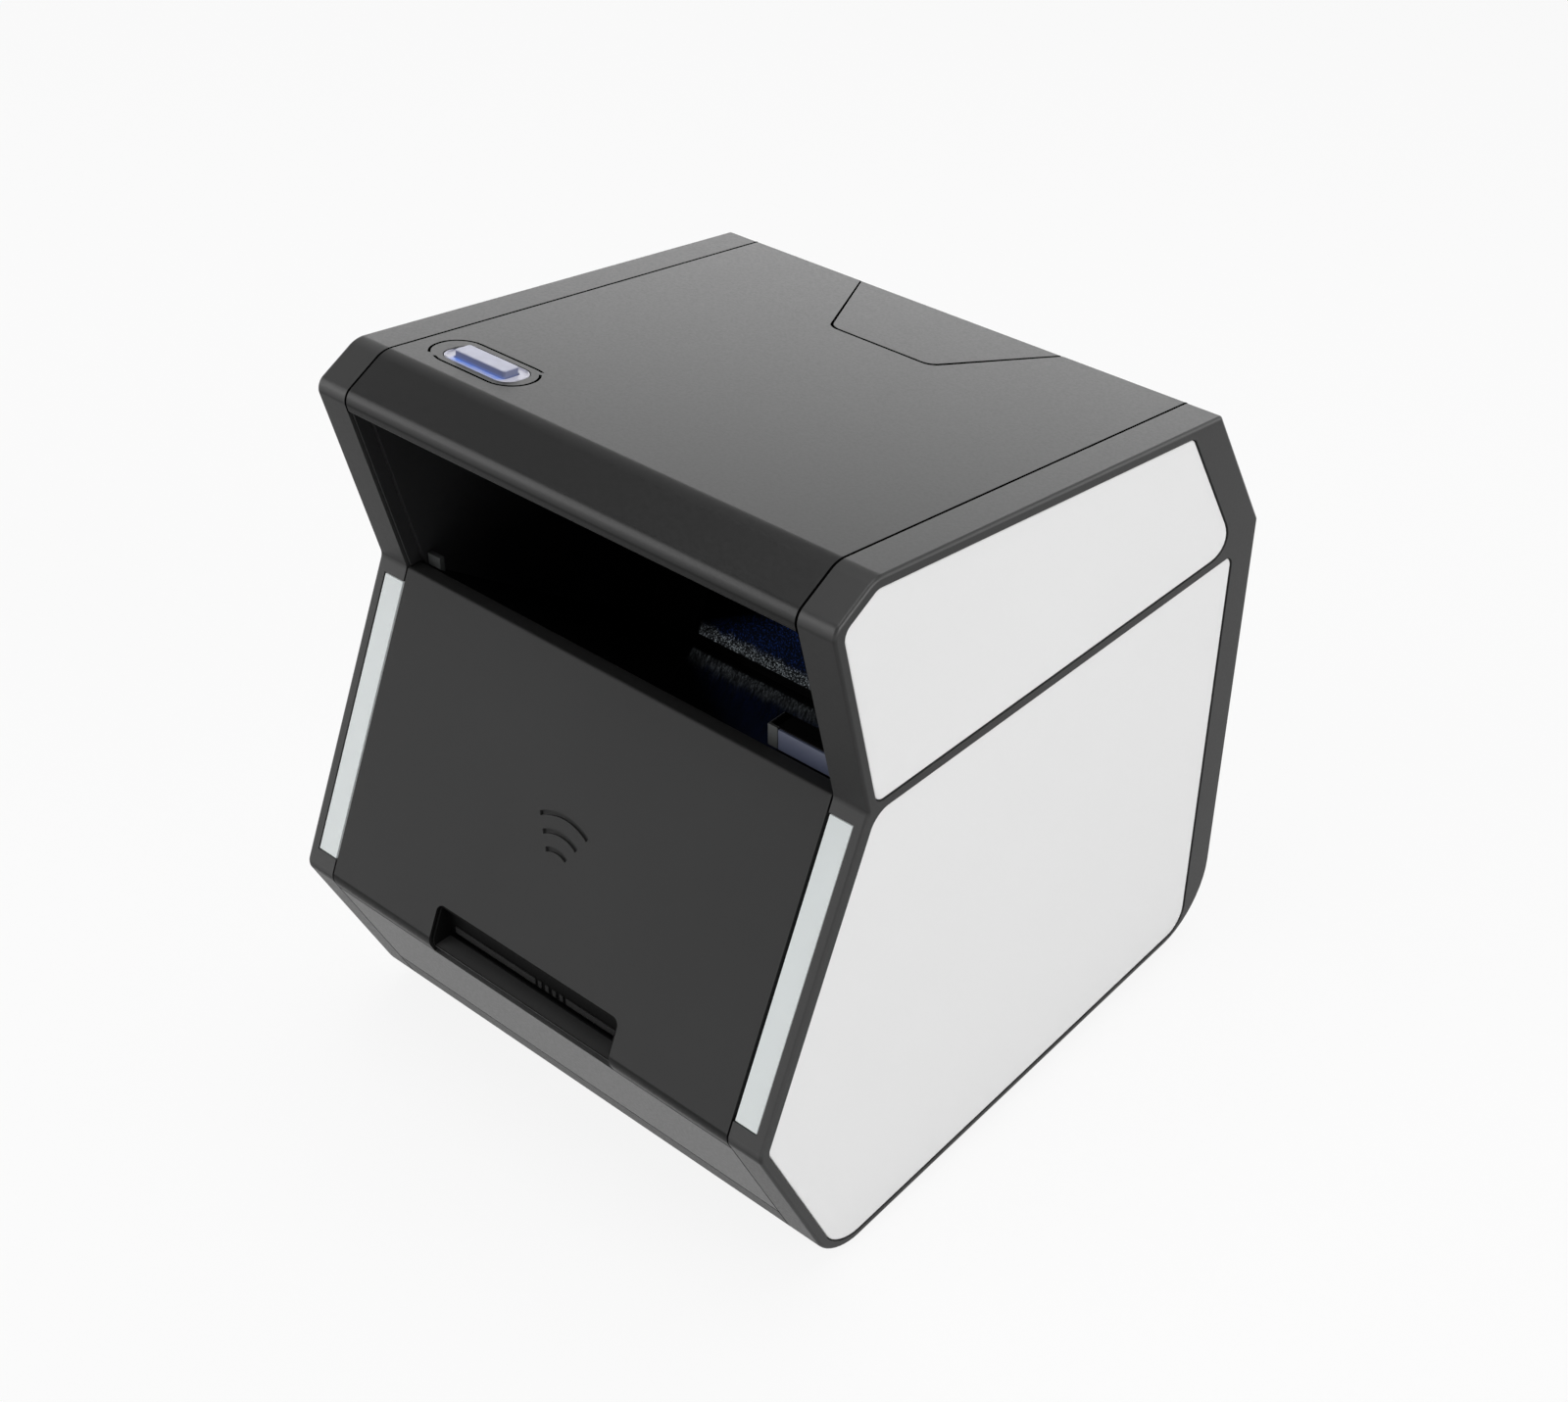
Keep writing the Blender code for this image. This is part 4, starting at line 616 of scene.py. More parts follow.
def metal(name, colour, rough, stretch):
    """Rolled or turned metal: fine drawn lines along one way break the highlight."""
    material, add, shader, coords = start_finish(name)
    drawn = add("Mapping", {"Vector": coords, "Scale": stretch})
    lines = add("TexNoise", {"Vector": drawn, "Scale": per_metre(0.6), "Detail": 3.0})
    cloud = add("TexNoise", {"Vector": coords, "Scale": per_metre(14), "Detail": 2.0})
    shade = add("Mix", {0: cloud, 6: tone(colour, 0.82), 7: colour})
    gloss = add("MapRange", (lines, 0.0, 1.0, rough - 0.12, rough + 0.12))
    bump = add("Bump", {"Height": lines, "Strength": 0.06, "Distance": 0.0002})
    fill(shader, {"Base Color": shade, "Roughness": gloss, "Normal": bump, "Metallic": 1.0})
    return material


def circuit_board(name, colour):
    """Solder-masked glass epoxy: copper tracks show as lighter lines under the green mask."""
    material, add, shader, coords = start_finish(name)
    tracks = add("TexBrick", {"Vector": coords, "Scale": per_metre(9), "Mortar Size": 0.03,
                              "Color1": colour, "Color2": colour, "Mortar": linear("3c8a55")})
    pads = add("TexVoronoi", {"Vector": coords, "Scale": per_metre(4)})
    ring = add("MapRange", (pads, 0.12, 0.16, 1.0, 0.0))
    shade = add("Mix", {0: ring, 6: tracks, 7: linear("b7a46a")})
    bump = add("Bump", {"Height": tracks.outputs["Fac"], "Strength": 0.1, "Distance": 0.0001})
    fill(shader, {"Base Color": shade, "Roughness": 0.4, "Normal": bump})
    return material


def soft_matt(name, colour, rough, grain, relief, level=0.3):
    """Rubber, card and the black strips of painted shade in gaps: no gloss to speak of, with a felted or pitted
    surface.
    """
    material, add, shader, coords = start_finish(name)
    felt = add("TexNoise", {"Vector": coords, "Scale": per_metre(grain), "Detail": 5.0, "Roughness": 0.65})
    shade = add("Mix", {0: felt, 6: tone(colour, 0.86), 7: colour})
    gloss = add("MapRange", (felt, 0.0, 1.0, rough - 0.08, min(1.0, rough + 0.08)))
    bump = add("Bump", {"Height": felt, "Strength": relief, "Distance": 0.0004})
    fill(shader, {"Base Color": shade, "Roughness": gloss, "Normal": bump, "Specular IOR Level": level})
    return material


def wound_paper(name, colour):
    """A roll of thermal paper: smooth coated outside, with the edges of its turns as fine rings."""
    material, add, shader, coords = start_finish(name)
    low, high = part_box("paper_roll")
    half = (high[0] - low[0]) / 2
    # Coarser than the paper's 0.06 mm, so that the turns show
    pitch = 0.0007
    centred = add("Mapping", {"Vector": coords, "Location": [-(a + b) / 2 for a, b in zip(low, high)]})
    flat = add("VectorMath", (centred, (0, 1, 1)), operation="MULTIPLY")
    reach = add("VectorMath", (flat,), operation="LENGTH")
    turns = add("Math", (reach, 2 * pi / pitch))
    ring = add("Math", (turns,), operation="SINE")
    band = add("MapRange", (ring, -1.0, 1.0))
    place = add("SeparateXYZ", (centred,)).outputs
    across = add("Math", (place["X"],), operation="ABSOLUTE")
    ends = add("MapRange", (across, half - 0.0004, half - 0.0002))
    fibre = add("TexNoise", {"Vector": coords, "Scale": per_metre(1.2), "Detail": 4.0})
    faint = add("Math", (fibre, 0.2))
    mark = add("Math", (band, ends, faint), operation="MULTIPLY_ADD")
    shade = add("Mix", {0: mark, 6: colour, 7: tone(colour, 0.8)})
    bump = add("Bump", {"Height": mark, "Strength": 0.1, "Distance": 0.0002})
    fill(shader, {"Base Color": shade, "Roughness": 0.6, "Normal": bump})
    return material


def make_finishes(colours):
    """Make every finish once."""
    FINISHES.update({
        # The rim's paler edges are a painted highlight along its fillets, which also stands for light rubbing
        # wear
        "rim": moulded_plastic("grained_abs", colours.rim, 0.36, 0.5, 0.8, 0.04, edge_highlight_and_wear=0.1, under=0.06),
        "top": moulded_plastic("satin_abs", colours.top, 0.33, 0.5, 0.8, 0.012, under=0.05),
        # The panel's colour is darkened by facing: painted shade on its ledge and recess walls, a painted dark
        # reflection on its foot
        "panel": moulded_plastic("panel_abs", colours.panel, 0.45, 0.12, 0.8, 0.04, turned=0.15),
        # Outlet lining darker than the outlet floor's plastic: painted shade on the recess walls and ceiling; the
        # light block's housing uses it too
        "outlet": moulded_plastic("outlet_abs_painted_shade", colours.outlet, 0.5, 0.06, 0.8, 0.06),
        "bed": moulded_plastic("bed_abs", linear("3a3a3a"), 0.5, 0.3, 0.8, 0.06),
        "bar": moulded_plastic("bar_abs", linear("323232"), 0.5, 0.08, 0.8, 0.06),
        "plinth": moulded_plastic("plinth_abs", colours.plinth, 0.45, 0.4, 0.8, 0.05),
        "skirt": moulded_plastic("skirt_abs", colours.skirt, 0.5, 0.25, 0.8, 0.06),
        "inlay": moulded_plastic("pale_abs", colours.inlay, 0.45, 0.4, 0.9, 0.03, drift=0.012),
        "strip": frosted_plastic("diffuser_acrylic", colours.strip, 0.4, colours.strip, 0.3),
        "bay": moulded_plastic("black_abs", colours.bay, 0.5, 0.2, 0.9, 0.06),
        "glass": dark_glass("tinted_glass", linear("181919")),
        "window": lit_window("lit_acrylic"),
        "bezel": lit_bezel("clear_acrylic", colours.bezel, colours.glow),
        "button": lit_button("button_acrylic", colours.button, colours.flank, colours.glow),
        "block": frosted_plastic("lens_acrylic", linear("565b6e"), 0.35, linear("484e62"), 0.12),
        "cap": moulded_plastic("grey_abs", linear("4a4c4c"), 0.5, 0.4, 0.8, 0.05),
        "socket": moulded_plastic("socket_nylon", linear("181818"), 0.5, 0.4, 0.6, 0.05),
        "contact": metal("plated_contact", linear("d8b25c"), 0.3, (1, 1, 6)),
        "board": circuit_board("solder_mask", linear("17522e")),
        "gear": moulded_plastic("acetal", linear("e6e2d6"), 0.4, 0.4, 0.6, 0.03, drift=0.02),
        "steel": metal("rolled_steel", linear("b4b6b8"), 0.38, (8, 1, 1)),
        "aluminium": metal("milled_aluminium", linear("c6c8ca"), 0.42, (8, 1, 1)),
        "brass": metal("turned_brass", linear("c9a24b"), 0.34, (1, 6, 6)),
        "rubber": soft_matt("rubber", linear("1a1a1a"), 0.8, 0.5, 0.2),
        # Black matt strips that fill the top cover's gaps: painted shade
        "shadow_strip": soft_matt("shadow_strip_matt", linear("040404"), 0.9, 0.5, 0.1, 0.0),
        "paper": wound_paper("thermal_paper", linear("f0efea")),
        "card": soft_matt("grey_card", linear("a5875f"), 0.85, 0.8, 0.25),
    })


# Pieces

class PRINTER_OT_side_frames(bpy.types.Operator):
    """Build both side frames with their rims and pockets"""
    bl_idname = "printer.side_frames"
    bl_label = "Side Frames"

    def execute(self, context):
        sizes = context.scene.printer_sizes
        for name, sign in SIDES.items():
            shell = prism(CASE, CASE_RADII, sign * INNER, sign * HALF_WIDTH, CASE_STEPS)
            soften(shell, at_x(sign * HALF_WIDTH), sizes.rim_fillet, 5)
            soften(shell, bay_side(sign * INNER), sizes.bay_edge, 4)
            hollow = prism(inset(CASE, RIM_WALL), [max(r - RIM_WALL, 0) for r in CASE_RADII],
                           sign * (INNER - CLEAR), sign * (HALF_WIDTH - RIM_FACE))
            pockets = [prism(inset(corners, -GAP), [r + GAP for r in radii],
                             sign * (HALF_WIDTH - INLAY_BACK - GAP), sign * (HALF_WIDTH + CLEAR), DETAIL_STEPS)
                       for corners, radii in inlay_corners().values()]
            slot = strip_slab(sign, GAP, -RIM_WALL - 0.001, CLEAR)
            slot.transform(PANEL_FACE)
            settle(f"{name}_frame_shell", carve(shell, [hollow, *pockets, slot]), "rim",
                   [f"{name}_side_frame"], edge=sizes.edge)
        return {"FINISHED"}


def bay_side(x):
    """Return a test for the edge beside the bay's mouth, in one plane across the case."""
    out = inward(NOSE, NOTCH)
    return lambda edge: at_x(x)(edge) and all(abs((v.co.yz - NOSE).dot(out)) < 1e-5 for v in edge.verts)


def inlay_corners():
    """Return the corners and radii of the upper and lower inlay panels."""
    foot, heel, shoulder, rear, hood, nose, notch, toe = inset(CASE, *INLAY_MARGINS)
    rib = (NOTCH, side(REAR_FACE, RIB_REAR))
    above, below = [[point + RISE * half for point in rib] for half in (RIB_HALF, -RIB_HALF)]
    upper = [meet(*above, nose, notch), meet(*above, rear, shoulder), rear, hood, nose]
    lower = [foot, heel, meet(*below, heel, shoulder), meet(*below, notch, toe), toe]
    return {"upper": (upper, [0.003, 0.006, 0.003, 0.003, 0.003]),
            "lower": (lower, [0.013, 0.007, 0.003, 0.006, 0.003])}


def strip_slab(sign, spare, low, high):
    """Return a light strip's block on the rim's front face, between two heights."""
    left, right = sorted((sign * (INNER + GAP - 3 * spare), sign * (INNER + STRIP_WIDTH + spare)))
    return slab(left, right, STRIP_START - spare, PANEL_LENGTH - STRIP_END + spare, low, high)


class PRINTER_OT_inlays(bpy.types.Operator):
    """Build the pale inlay panels of both sides"""
    bl_idname = "printer.inlays"
    bl_label = "Inlays"

    def execute(self, context):
        sizes = context.scene.printer_sizes
        for name, sign in SIDES.items():
            back, face = sign * (HALF_WIDTH - INLAY_BACK), sign * (HALF_WIDTH - GAP)
            for level, (corners, radii) in inlay_corners().items():
                panel = prism(corners, radii, back, face, DETAIL_STEPS)
                soften(panel, at_x(face), sizes.inlay_edge, 3)
                settle(f"{name}_{level}_panel", panel, "inlay", [f"{name}_{level}_inlay"])
        return {"FINISHED"}


class PRINTER_OT_light_strips(bpy.types.Operator):
    """Build the frosted light strips in the rims"""
    bl_idname = "printer.light_strips"
    bl_label = "Light Strips"

    def execute(self, context):
        sizes = context.scene.printer_sizes
        for name, sign in SIDES.items():
            strip = strip_slab(sign, 0.0, -RIM_WALL, -0.0002)
            soften(strip, sharp, sizes.strip_edge)
            strip.transform(PANEL_FACE)
            settle(f"{name}_diffuser", strip, "strip", [f"{name}_light_strip"])
        return {"FINISHED"}


class PRINTER_OT_top_cover(bpy.types.Operator):
    """Build the top cover with its hood lip, button hole, groove and door cut-out, and the black strips of
    painted shade in its gaps
    """
    bl_idname = "printer.top_cover"
    bl_label = "Top Cover"

    def execute(self, context):
        sizes = context.scene.printer_sizes
        line, corner, lip_edge = sizes.groove_line, sizes.tongue_corner, sizes.lip_edge
        rear, hood, nose = inset(CASE, SHELL)[3:6]
        lip, out = toward(NOSE, NOTCH, LIP_LENGTH), inward(NOSE, NOTCH)
        cover = prism(
            [toward(TOP_REAR, HOOD, MITRE_GAP), HOOD, NOSE, lip, lip + out * SHELL, nose, hood,
             toward(rear, hood, MITRE_GAP)],
            [0, HOOD_RADIUS, NOSE_RADIUS, lip_edge, lip_edge, NOSE_RADIUS - SHELL, HOOD_RADIUS - SHELL],
            -TOP_HALF, TOP_HALF, CASE_STEPS)
        cutters = [tongue_opening(corner), button_slab(*BUTTON_HOLE, -0.006, 0.006),
                   *groove_arcs(line, -GROOVE_DEPTH, 0.002)]
        for cutter in cutters:
            cutter.transform(TOP_FACE)
        settle("top_shell", carve(cover, cutters), "top", ["top_cover"], edge=sizes.edge)

        # Thin black strips just under the surface fill the door tongue's gap, the groove and the side seams:
        # painted shade in these gaps
        ring = slab(-DOOR_HALF - 0.002, DOOR_HALF + 0.002, TOP_LENGTH - TONGUE_LENGTH - 0.002,
                    TOP_LENGTH - 0.0004, -SHADOW_STRIP_FOOT, -SHADOW_STRIP_DROP)
        ring = carve(carve(ring, [tongue_opening(corner)], "INTERSECT"), [tongue_shape(0.0001, corner)])
        shadow_strips = [*groove_arcs(line, -SHADOW_STRIP_FOOT, -SHADOW_STRIP_DROP), ring]
        for name, shadow_strip in zip(("groove_shadow_strip_0", "groove_shadow_strip_1", "tongue_shadow_strip"), shadow_strips):
            shadow_strip.transform(TOP_FACE)
            settle(name, shadow_strip, "shadow_strip")

        near, far = [inset(CASE, depth)[3:6] for depth in (SHADOW_STRIP_DROP, SEAM_DEPTH)]
        seam = [*near, lip + out * SHADOW_STRIP_DROP, lip + out * SEAM_DEPTH, *reversed(far)]
        radii = [0, HOOD_RADIUS - SHADOW_STRIP_DROP, NOSE_RADIUS - SHADOW_STRIP_DROP, 0, 0, NOSE_RADIUS - SEAM_DEPTH,
                 HOOD_RADIUS - SEAM_DEPTH]
        for name, sign in SIDES.items():
            shadow_strip = prism(seam, radii, sign * TOP_HALF, sign * INNER, CASE_STEPS)
            settle(f"{name}_cover_shadow_strip", shadow_strip, "shadow_strip")
        return {"FINISHED"}


def tongue_shape(spare, corner):
    """Return a tall block in the door tongue's outline, in the top face's own frame."""
    front, rear = TONGUE_HALF + spare, DOOR_HALF + spare
    start, end = TOP_LENGTH - TONGUE_LENGTH - spare, TOP_LENGTH + 0.3
    places = [(-front, start), (front, start), (rear, TOP_LENGTH), (rear, end), (-rear, end), (-rear, TOP_LENGTH)]
    return solid([(x, y, -0.2) for x, y in places], [corner, corner], (0, 0, 0.25))


def tongue_opening(corner):
    """Return the top cover's opening for the tongue: wider in front and on the right, as the photo shows."""
    mesh = tongue_shape(TONGUE_GAP, corner)
    move(mesh, (TONGUE_SHIFT, -TONGUE_SHIFT, 0))
    return mesh


def button_slab(length, width, corner, low, high, segments=DETAIL_STEPS):
    """Return a rounded plate centred on the power button, in the top face's own frame."""
    x, y = BUTTON_PLACE
    return slab(x - length / 2, x + length / 2, y - width / 2, y + width / 2, low, high, corner,
                segments=segments)


def groove_arcs(line, low, high):
    """Return the two open halves of the groove round the button as thin curved bars, between two heights."""
    x, y = BUTTON_PLACE
    halves = []
    for length, near, far in GROOVE_HALVES:
        outer = button_slab(length + line, GROOVE_WIDTH + line, GROOVE_RADIUS + line / 2, low, high)
        inner = button_slab(length - line, GROOVE_WIDTH - line, GROOVE_RADIUS - line / 2, -CLEAR, CLEAR)
        half = slab(x - 0.03, x + 0.03, y + near, y + far, -CLEAR, CLEAR)
        turn(half, GROOVE_TURN, "Z", (x, y, 0))
        halves.append(carve(carve(outer, [inner]), [half], "INTERSECT"))
    return halves


class PRINTER_OT_power_button(bpy.types.Operator):
    """Build the clear bezel dish and the button bar"""
    bl_idname = "printer.power_button"
    bl_label = "Power Button"

    def execute(self, context):
        dish = button_slab(*DISH, -DISH_DEPTH, CLEAR)
        slot = button_slab(*BEZEL_SLOT, -0.008, CLEAR, segments=6)
        bezel = carve(button_slab(*BEZEL, -0.004, 0.0), [dish, slot])
        bezel.transform(TOP_FACE)
        settle("bezel_dish", bezel, "bezel", ["button_bezel"], edge=0.00015)
        bar = button_slab(*BUTTON_BAR, -0.0042, BAR_TOP)
        soften(bar, lambda edge: all(v.co.z > 0.001 for v in edge.verts), 0.0002, 3)
        bar.transform(TOP_FACE)
        settle("button_bar", bar, "button", ["power_button"], body="button")
        return {"FINISHED"}


class PRINTER_OT_front_panel(bpy.types.Operator):
    """Build the front panel with its engraved arcs and outlet recess"""
    bl_idname = "printer.front_panel"
    bl_label = "Front Panel"

    def execute(self, context):
        sizes = context.scene.printer_sizes
        notch, toe = inset(CASE, PANEL_WALL)[6:]
        wrap = toward(PANEL_FOOT, BASE_FRONT, PANEL_WRAP)
        panel = prism(
            [NOTCH, PANEL_FOOT, wrap, wrap + inward(PANEL_FOOT, BASE_FRONT) * PANEL_WALL, toe,
             meet(notch, toe, NOTCH, NOTCH + LEVEL)],
            [sizes.panel_edge, FOOT_RADIUS, 0.0004, 0, 0, 0.0004], -COVER_HALF, COVER_HALF, DETAIL_STEPS)
        recess = slab(OUTLET_LEFT - GAP, OUTLET_RIGHT + GAP, -0.02, OUTLET_TOP + GAP, -0.02, 0.01,
                      sizes.recess_corner, lambda place: place.y > 0)
        cutters = [recess, *(mark_arc(radius, sizes.mark_line, sizes.mark_depth) for radius in MARK_RADII)]
        for cutter in cutters:
            cutter.transform(PANEL_FACE)
        settle("panel_shell", carve(panel, cutters), "panel", ["front_panel"], edge=sizes.edge)
        return {"FINISHED"}


def mark_arc(radius, line, depth):
    """Return one arc of the contactless mark as a curved bar, in the panel face's own frame."""
    mesh = bmesh.new()
    bmesh.ops.create_grid(mesh, x_segments=1, y_segments=1, size=0.5)
    bmesh.ops.scale(mesh, vec=(line, 2 * depth, 1), verts=mesh.verts)
    turn(mesh, pi / 2, "X")
    move(mesh, (radius, 0, 0))
    turn(mesh, pi / 2 - MARK_HALF_ANGLE, "Z")
    bmesh.ops.spin(mesh, geom=mesh.faces[:] + mesh.edges[:] + mesh.verts[:], cent=(0, 0, 0), axis=(0, 0, 1),
                   angle=2 * MARK_HALF_ANGLE, steps=14, use_merge=False, use_duplicate=False)
    bmesh.ops.holes_fill(mesh, edges=[edge for edge in mesh.edges if edge.is_boundary], sides=4)
    bmesh.ops.recalc_face_normals(mesh, faces=mesh.faces[:])
    move(mesh, (0, PANEL_LENGTH - MARK_DROP, 0))
    return mesh


class PRINTER_OT_outlet(bpy.types.Operator):
    """Build the lined outlet pocket with its paper slot and the ribs over it"""
    bl_idname = "printer.outlet"
    bl_label = "Outlet"

    def execute(self, context):
        left, right, floor, back = OUTLET_LEFT, OUTLET_RIGHT, OUTLET_FLOOR, OUTLET_BACK
        run, into = (PANEL_FOOT - NOTCH).normalized(), inward(NOTCH, PANEL_FOOT)
        brow = PANEL_FOOT - run * OUTLET_TOP + into * OUTLET_SINK
        under = brow + run * OUTLET_WALL
        foot = inset(CASE, OUTLET_SINK)[7]
        undercut = (foot, foot + BASE_FRONT - PANEL_FOOT)
        sill = Vector((back + OUTLET_LINER, floor - OUTLET_LINER))
        chute = prism(
            [meet(*undercut, sill, sill + LEVEL), sill, meet(sill, sill + RISE, brow, brow + into), brow, foot],
            [0, 0, 0, 0, 0.0034], left, right, DETAIL_STEPS)
        ahead, step = Vector((PANEL_FOOT.x - 0.01, floor)), Vector((back, floor))
        pocket = prism(
            [ahead, step, meet(step, step + RISE, under, under + into),
             meet(ahead, ahead + RISE, under, under + into)],
            (), left + OUTLET_WALL, right - OUTLET_WALL)
        slot = block((left + 0.002, back - 0.001, floor + 0.0001), (right - 0.002, back + 0.003, floor + 0.0019))
        # The pocket's dark lining is painted shade for the recess walls and ceiling; the floor piece keeps the
        # lighter plastic
        settle("outlet_pocket", carve(chute, [pocket, slot]), "outlet", ["outlet_chute"],
               edge=0.00015)

        lip = meet(*undercut, step, step + LEVEL).x + 0.0002
        bed = block((left + OUTLET_WALL, lip, floor - 0.0005),
                    (right - OUTLET_WALL, back - 0.0003, floor + 0.0001))
        settle("outlet_bed", bed, "bed")
        lengths = [(left + 0.003, 0.0002), (0.0109, right - 0.002)]
        lengths += [(0.0011 + 0.0025 * k, 0.0024 + 0.0025 * k) for k in range(4)]
        for number, (start, end) in enumerate(lengths):
            bar = block((start, back - 0.0004, floor + 0.0023), (end, back + 0.0001, floor + 0.0044), 0.0002)
            settle(f"tear_bar_{number}", bar, "bar")
        return {"FINISHED"}


class PRINTER_OT_base(bpy.types.Operator):
    """Build the plinth panel, the base tray and the rubber feet"""
    bl_idname = "printer.base"
    bl_label = "Base"

    def execute(self, context):
        sizes = context.scene.printer_sizes
        depth = inward(PANEL_FOOT, BASE_FRONT) * SHELL
        top, foot, front = [toward(PANEL_FOOT, BASE_FRONT, reach)
                            for reach in (PLINTH_TOP, PLINTH_FOOT, TRAY_FRONT)]
        plinth = prism([top, foot, foot + depth, top + depth], (), -COVER_HALF, COVER_HALF)
        soften(plinth, sharp, sizes.edge)
        settle("plinth_face", plinth, "plinth", ["plinth_panel"])

        heel = side(REAR_FACE - SHELL, 0.0025)
        toe = meet(front + depth, front + depth + BASE_FRONT - PANEL_FOOT, heel, heel + LEVEL)
        tray = prism(
            [front, BASE_FRONT, BASE_REAR, side(REAR_FACE, TRAY_TOP), side(REAR_FACE - SHELL, TRAY_TOP),
             heel, toe, front + depth],
            [0, *BASE_RADII, 0, 0, 0.0125, 0.0035], -COVER_HALF, COVER_HALF, DETAIL_STEPS)
        recesses = [puck(*place, PAD_RADIUS + GAP, -0.02, 0.001) for place in FEET.values()]
        settle("tray_shell", carve(tray, recesses), "skirt", ["base_tray"], edge=sizes.edge)
        for name, place in FEET.items():
            pad = puck(*place, PAD_RADIUS, -FOOT_LIFT, 0.0007)
            soften(pad, sharp, 0.0004, 3)
            settle(f"{name}_pad", pad, "rubber", [f"{name}_foot"])
        return {"FINISHED"}


def puck(x, y, radius, low, high):
    """Return an upright round block between two side view heights."""
    mesh = bmesh.new()
    bmesh.ops.create_circle(mesh, cap_ends=True, segments=40, radius=radius)
    move(mesh, (x, y, low + FOOT_LIFT))
    pull(mesh, (0, 0, high - low))
    return mesh


class PRINTER_OT_rear(bpy.types.Operator):
    """Build the rear cover and the paper door"""
    bl_idname = "printer.rear"
    bl_label = "Rear Cover and Door"

    def execute(self, context):
        sizes = context.scene.printer_sizes
        shoulder, rear = inset(CASE, SHELL)[2:4]
        low = TRAY_TOP + GAP
        cover = prism(
            [side(REAR_FACE, low), SHOULDER, toward(TOP_REAR, SHOULDER, MITRE_GAP),
             toward(rear, shoulder, MITRE_GAP), shoulder, side(REAR_FACE - SHELL, low)],
            [0, FOLD_RADIUS], -COVER_HALF, COVER_HALF)
        cutters = [block((-DOOR_HALF - GAP, *side(0.13, DOOR_FOOT)), (DOOR_HALF + GAP, *side(0.18, 0.2)))]
        for x, width, height in SOCKETS.values():
            cutters.append(block((x - width / 2 - GAP, *side(0.16, SOCKET_FLOOR - GAP)),
                                 (x + width / 2 + GAP, *side(0.18, SOCKET_FLOOR + height + GAP))))
        settle("rear_shell", carve(cover, cutters), "rim", ["rear_cover"], edge=sizes.rear_edge)

        tip = toward(TOP_REAR, HOOD, TONGUE_LENGTH)
        door = prism(
            [Vector((BASE_REAR.x, HINGE.y)), SHOULDER, TOP_REAR, tip, tip + inward(TOP_REAR, HOOD) * SHELL, rear,
             shoulder, Vector((BASE_REAR.x - SHELL, HINGE.y))],
            [0, FOLD_RADIUS, FOLD_RADIUS], -DOOR_HALF - 0.001, DOOR_HALF + 0.001)
        shape = tongue_shape(0.0, sizes.tongue_corner)
        shape.transform(TOP_FACE)
        door = carve(door, [shape], "INTERSECT")
        door = carve(door, [rod(HINGE, BARREL_RADIUS, -DOOR_HALF, DOOR_HALF)], "UNION")
        door = carve(door, [rod(HINGE, PIN_RADIUS, -0.05, 0.05)])
        settle("door_shell", door, "top", ["paper_door"], "door", sizes.rear_edge)
        return {"FINISHED"}


class PRINTER_OT_bay(bpy.types.Operator):
    """Dress the document bay: lit window, cheeks, light block and stop tab"""
    bl_idname = "printer.bay"
    bl_label = "Document Bay"

    def execute(self, context):
        window = slab(-WINDOW_HALF, WINDOW_HALF, GAP, WINDOW_TOP, -0.002, -GAP)
        soften(window, sharp, 0.00015)
        window.transform(face_frame(GLASS_REAR, BAY_TOP))
        settle("window_plate", window, "window", ["scan_window"])

        shift = inward(NOSE, NOTCH) * CHEEK_SINK
        sill = (NOTCH + RISE * GAP, NOTCH + RISE * GAP + LEVEL)
        mouth = [toward(NOSE, NOTCH, CHEEK_TOP) + shift, meet(NOSE + shift, NOTCH + shift, *sill),
                 meet(GLASS_FRONT, BAY_BROW, *sill), BAY_BROW]
        for name, sign in SIDES.items():
            cheek = prism(mouth, (), sign * CHEEK_INNER, sign * CHEEK_OUTER)
            soften(cheek, sharp, 0.0001)
            settle(f"{name}_bay_cheek", cheek, "bay")

        low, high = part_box("bay_light_block")
        toe, heel, top = low[1], high[1], high[2]
        housing = bay_block(0.0466, 0.0674, toe + 0.0005, heel, top)
        settle("light_block_housing", housing, "outlet", ["bay_light_block"])
        lens = bay_block(0.0495, 0.0672, toe, toe + 0.001, top - 0.0004)
        settle("light_block_lens", lens, "block")
        cap = bay_block(0.0464, 0.0494, toe, heel - 0.0002, top)
        settle("light_block_cap", cap, "cap")
        low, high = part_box("bay_stop_tab")
        tab = bay_block(low[0], high[0], low[1], high[1], high[2])
        settle("stop_tab", tab, "cap", ["bay_stop_tab"])
        return {"FINISHED"}


def bay_block(left, right, toe, heel, top):
    """Return a block that stands on the bay glass between two depths."""
    glass = [point + RISE * GLASS_LIFT for point in (GLASS_FRONT, GLASS_REAR)]
    corners = [meet(*glass, Vector((depth, 0)), Vector((depth, 1))) for depth in (toe, heel)]
    mesh = prism([*corners, Vector((heel, top)), Vector((toe, top))], (), left, right)
    soften(mesh, sharp, 0.0002)
    return mesh


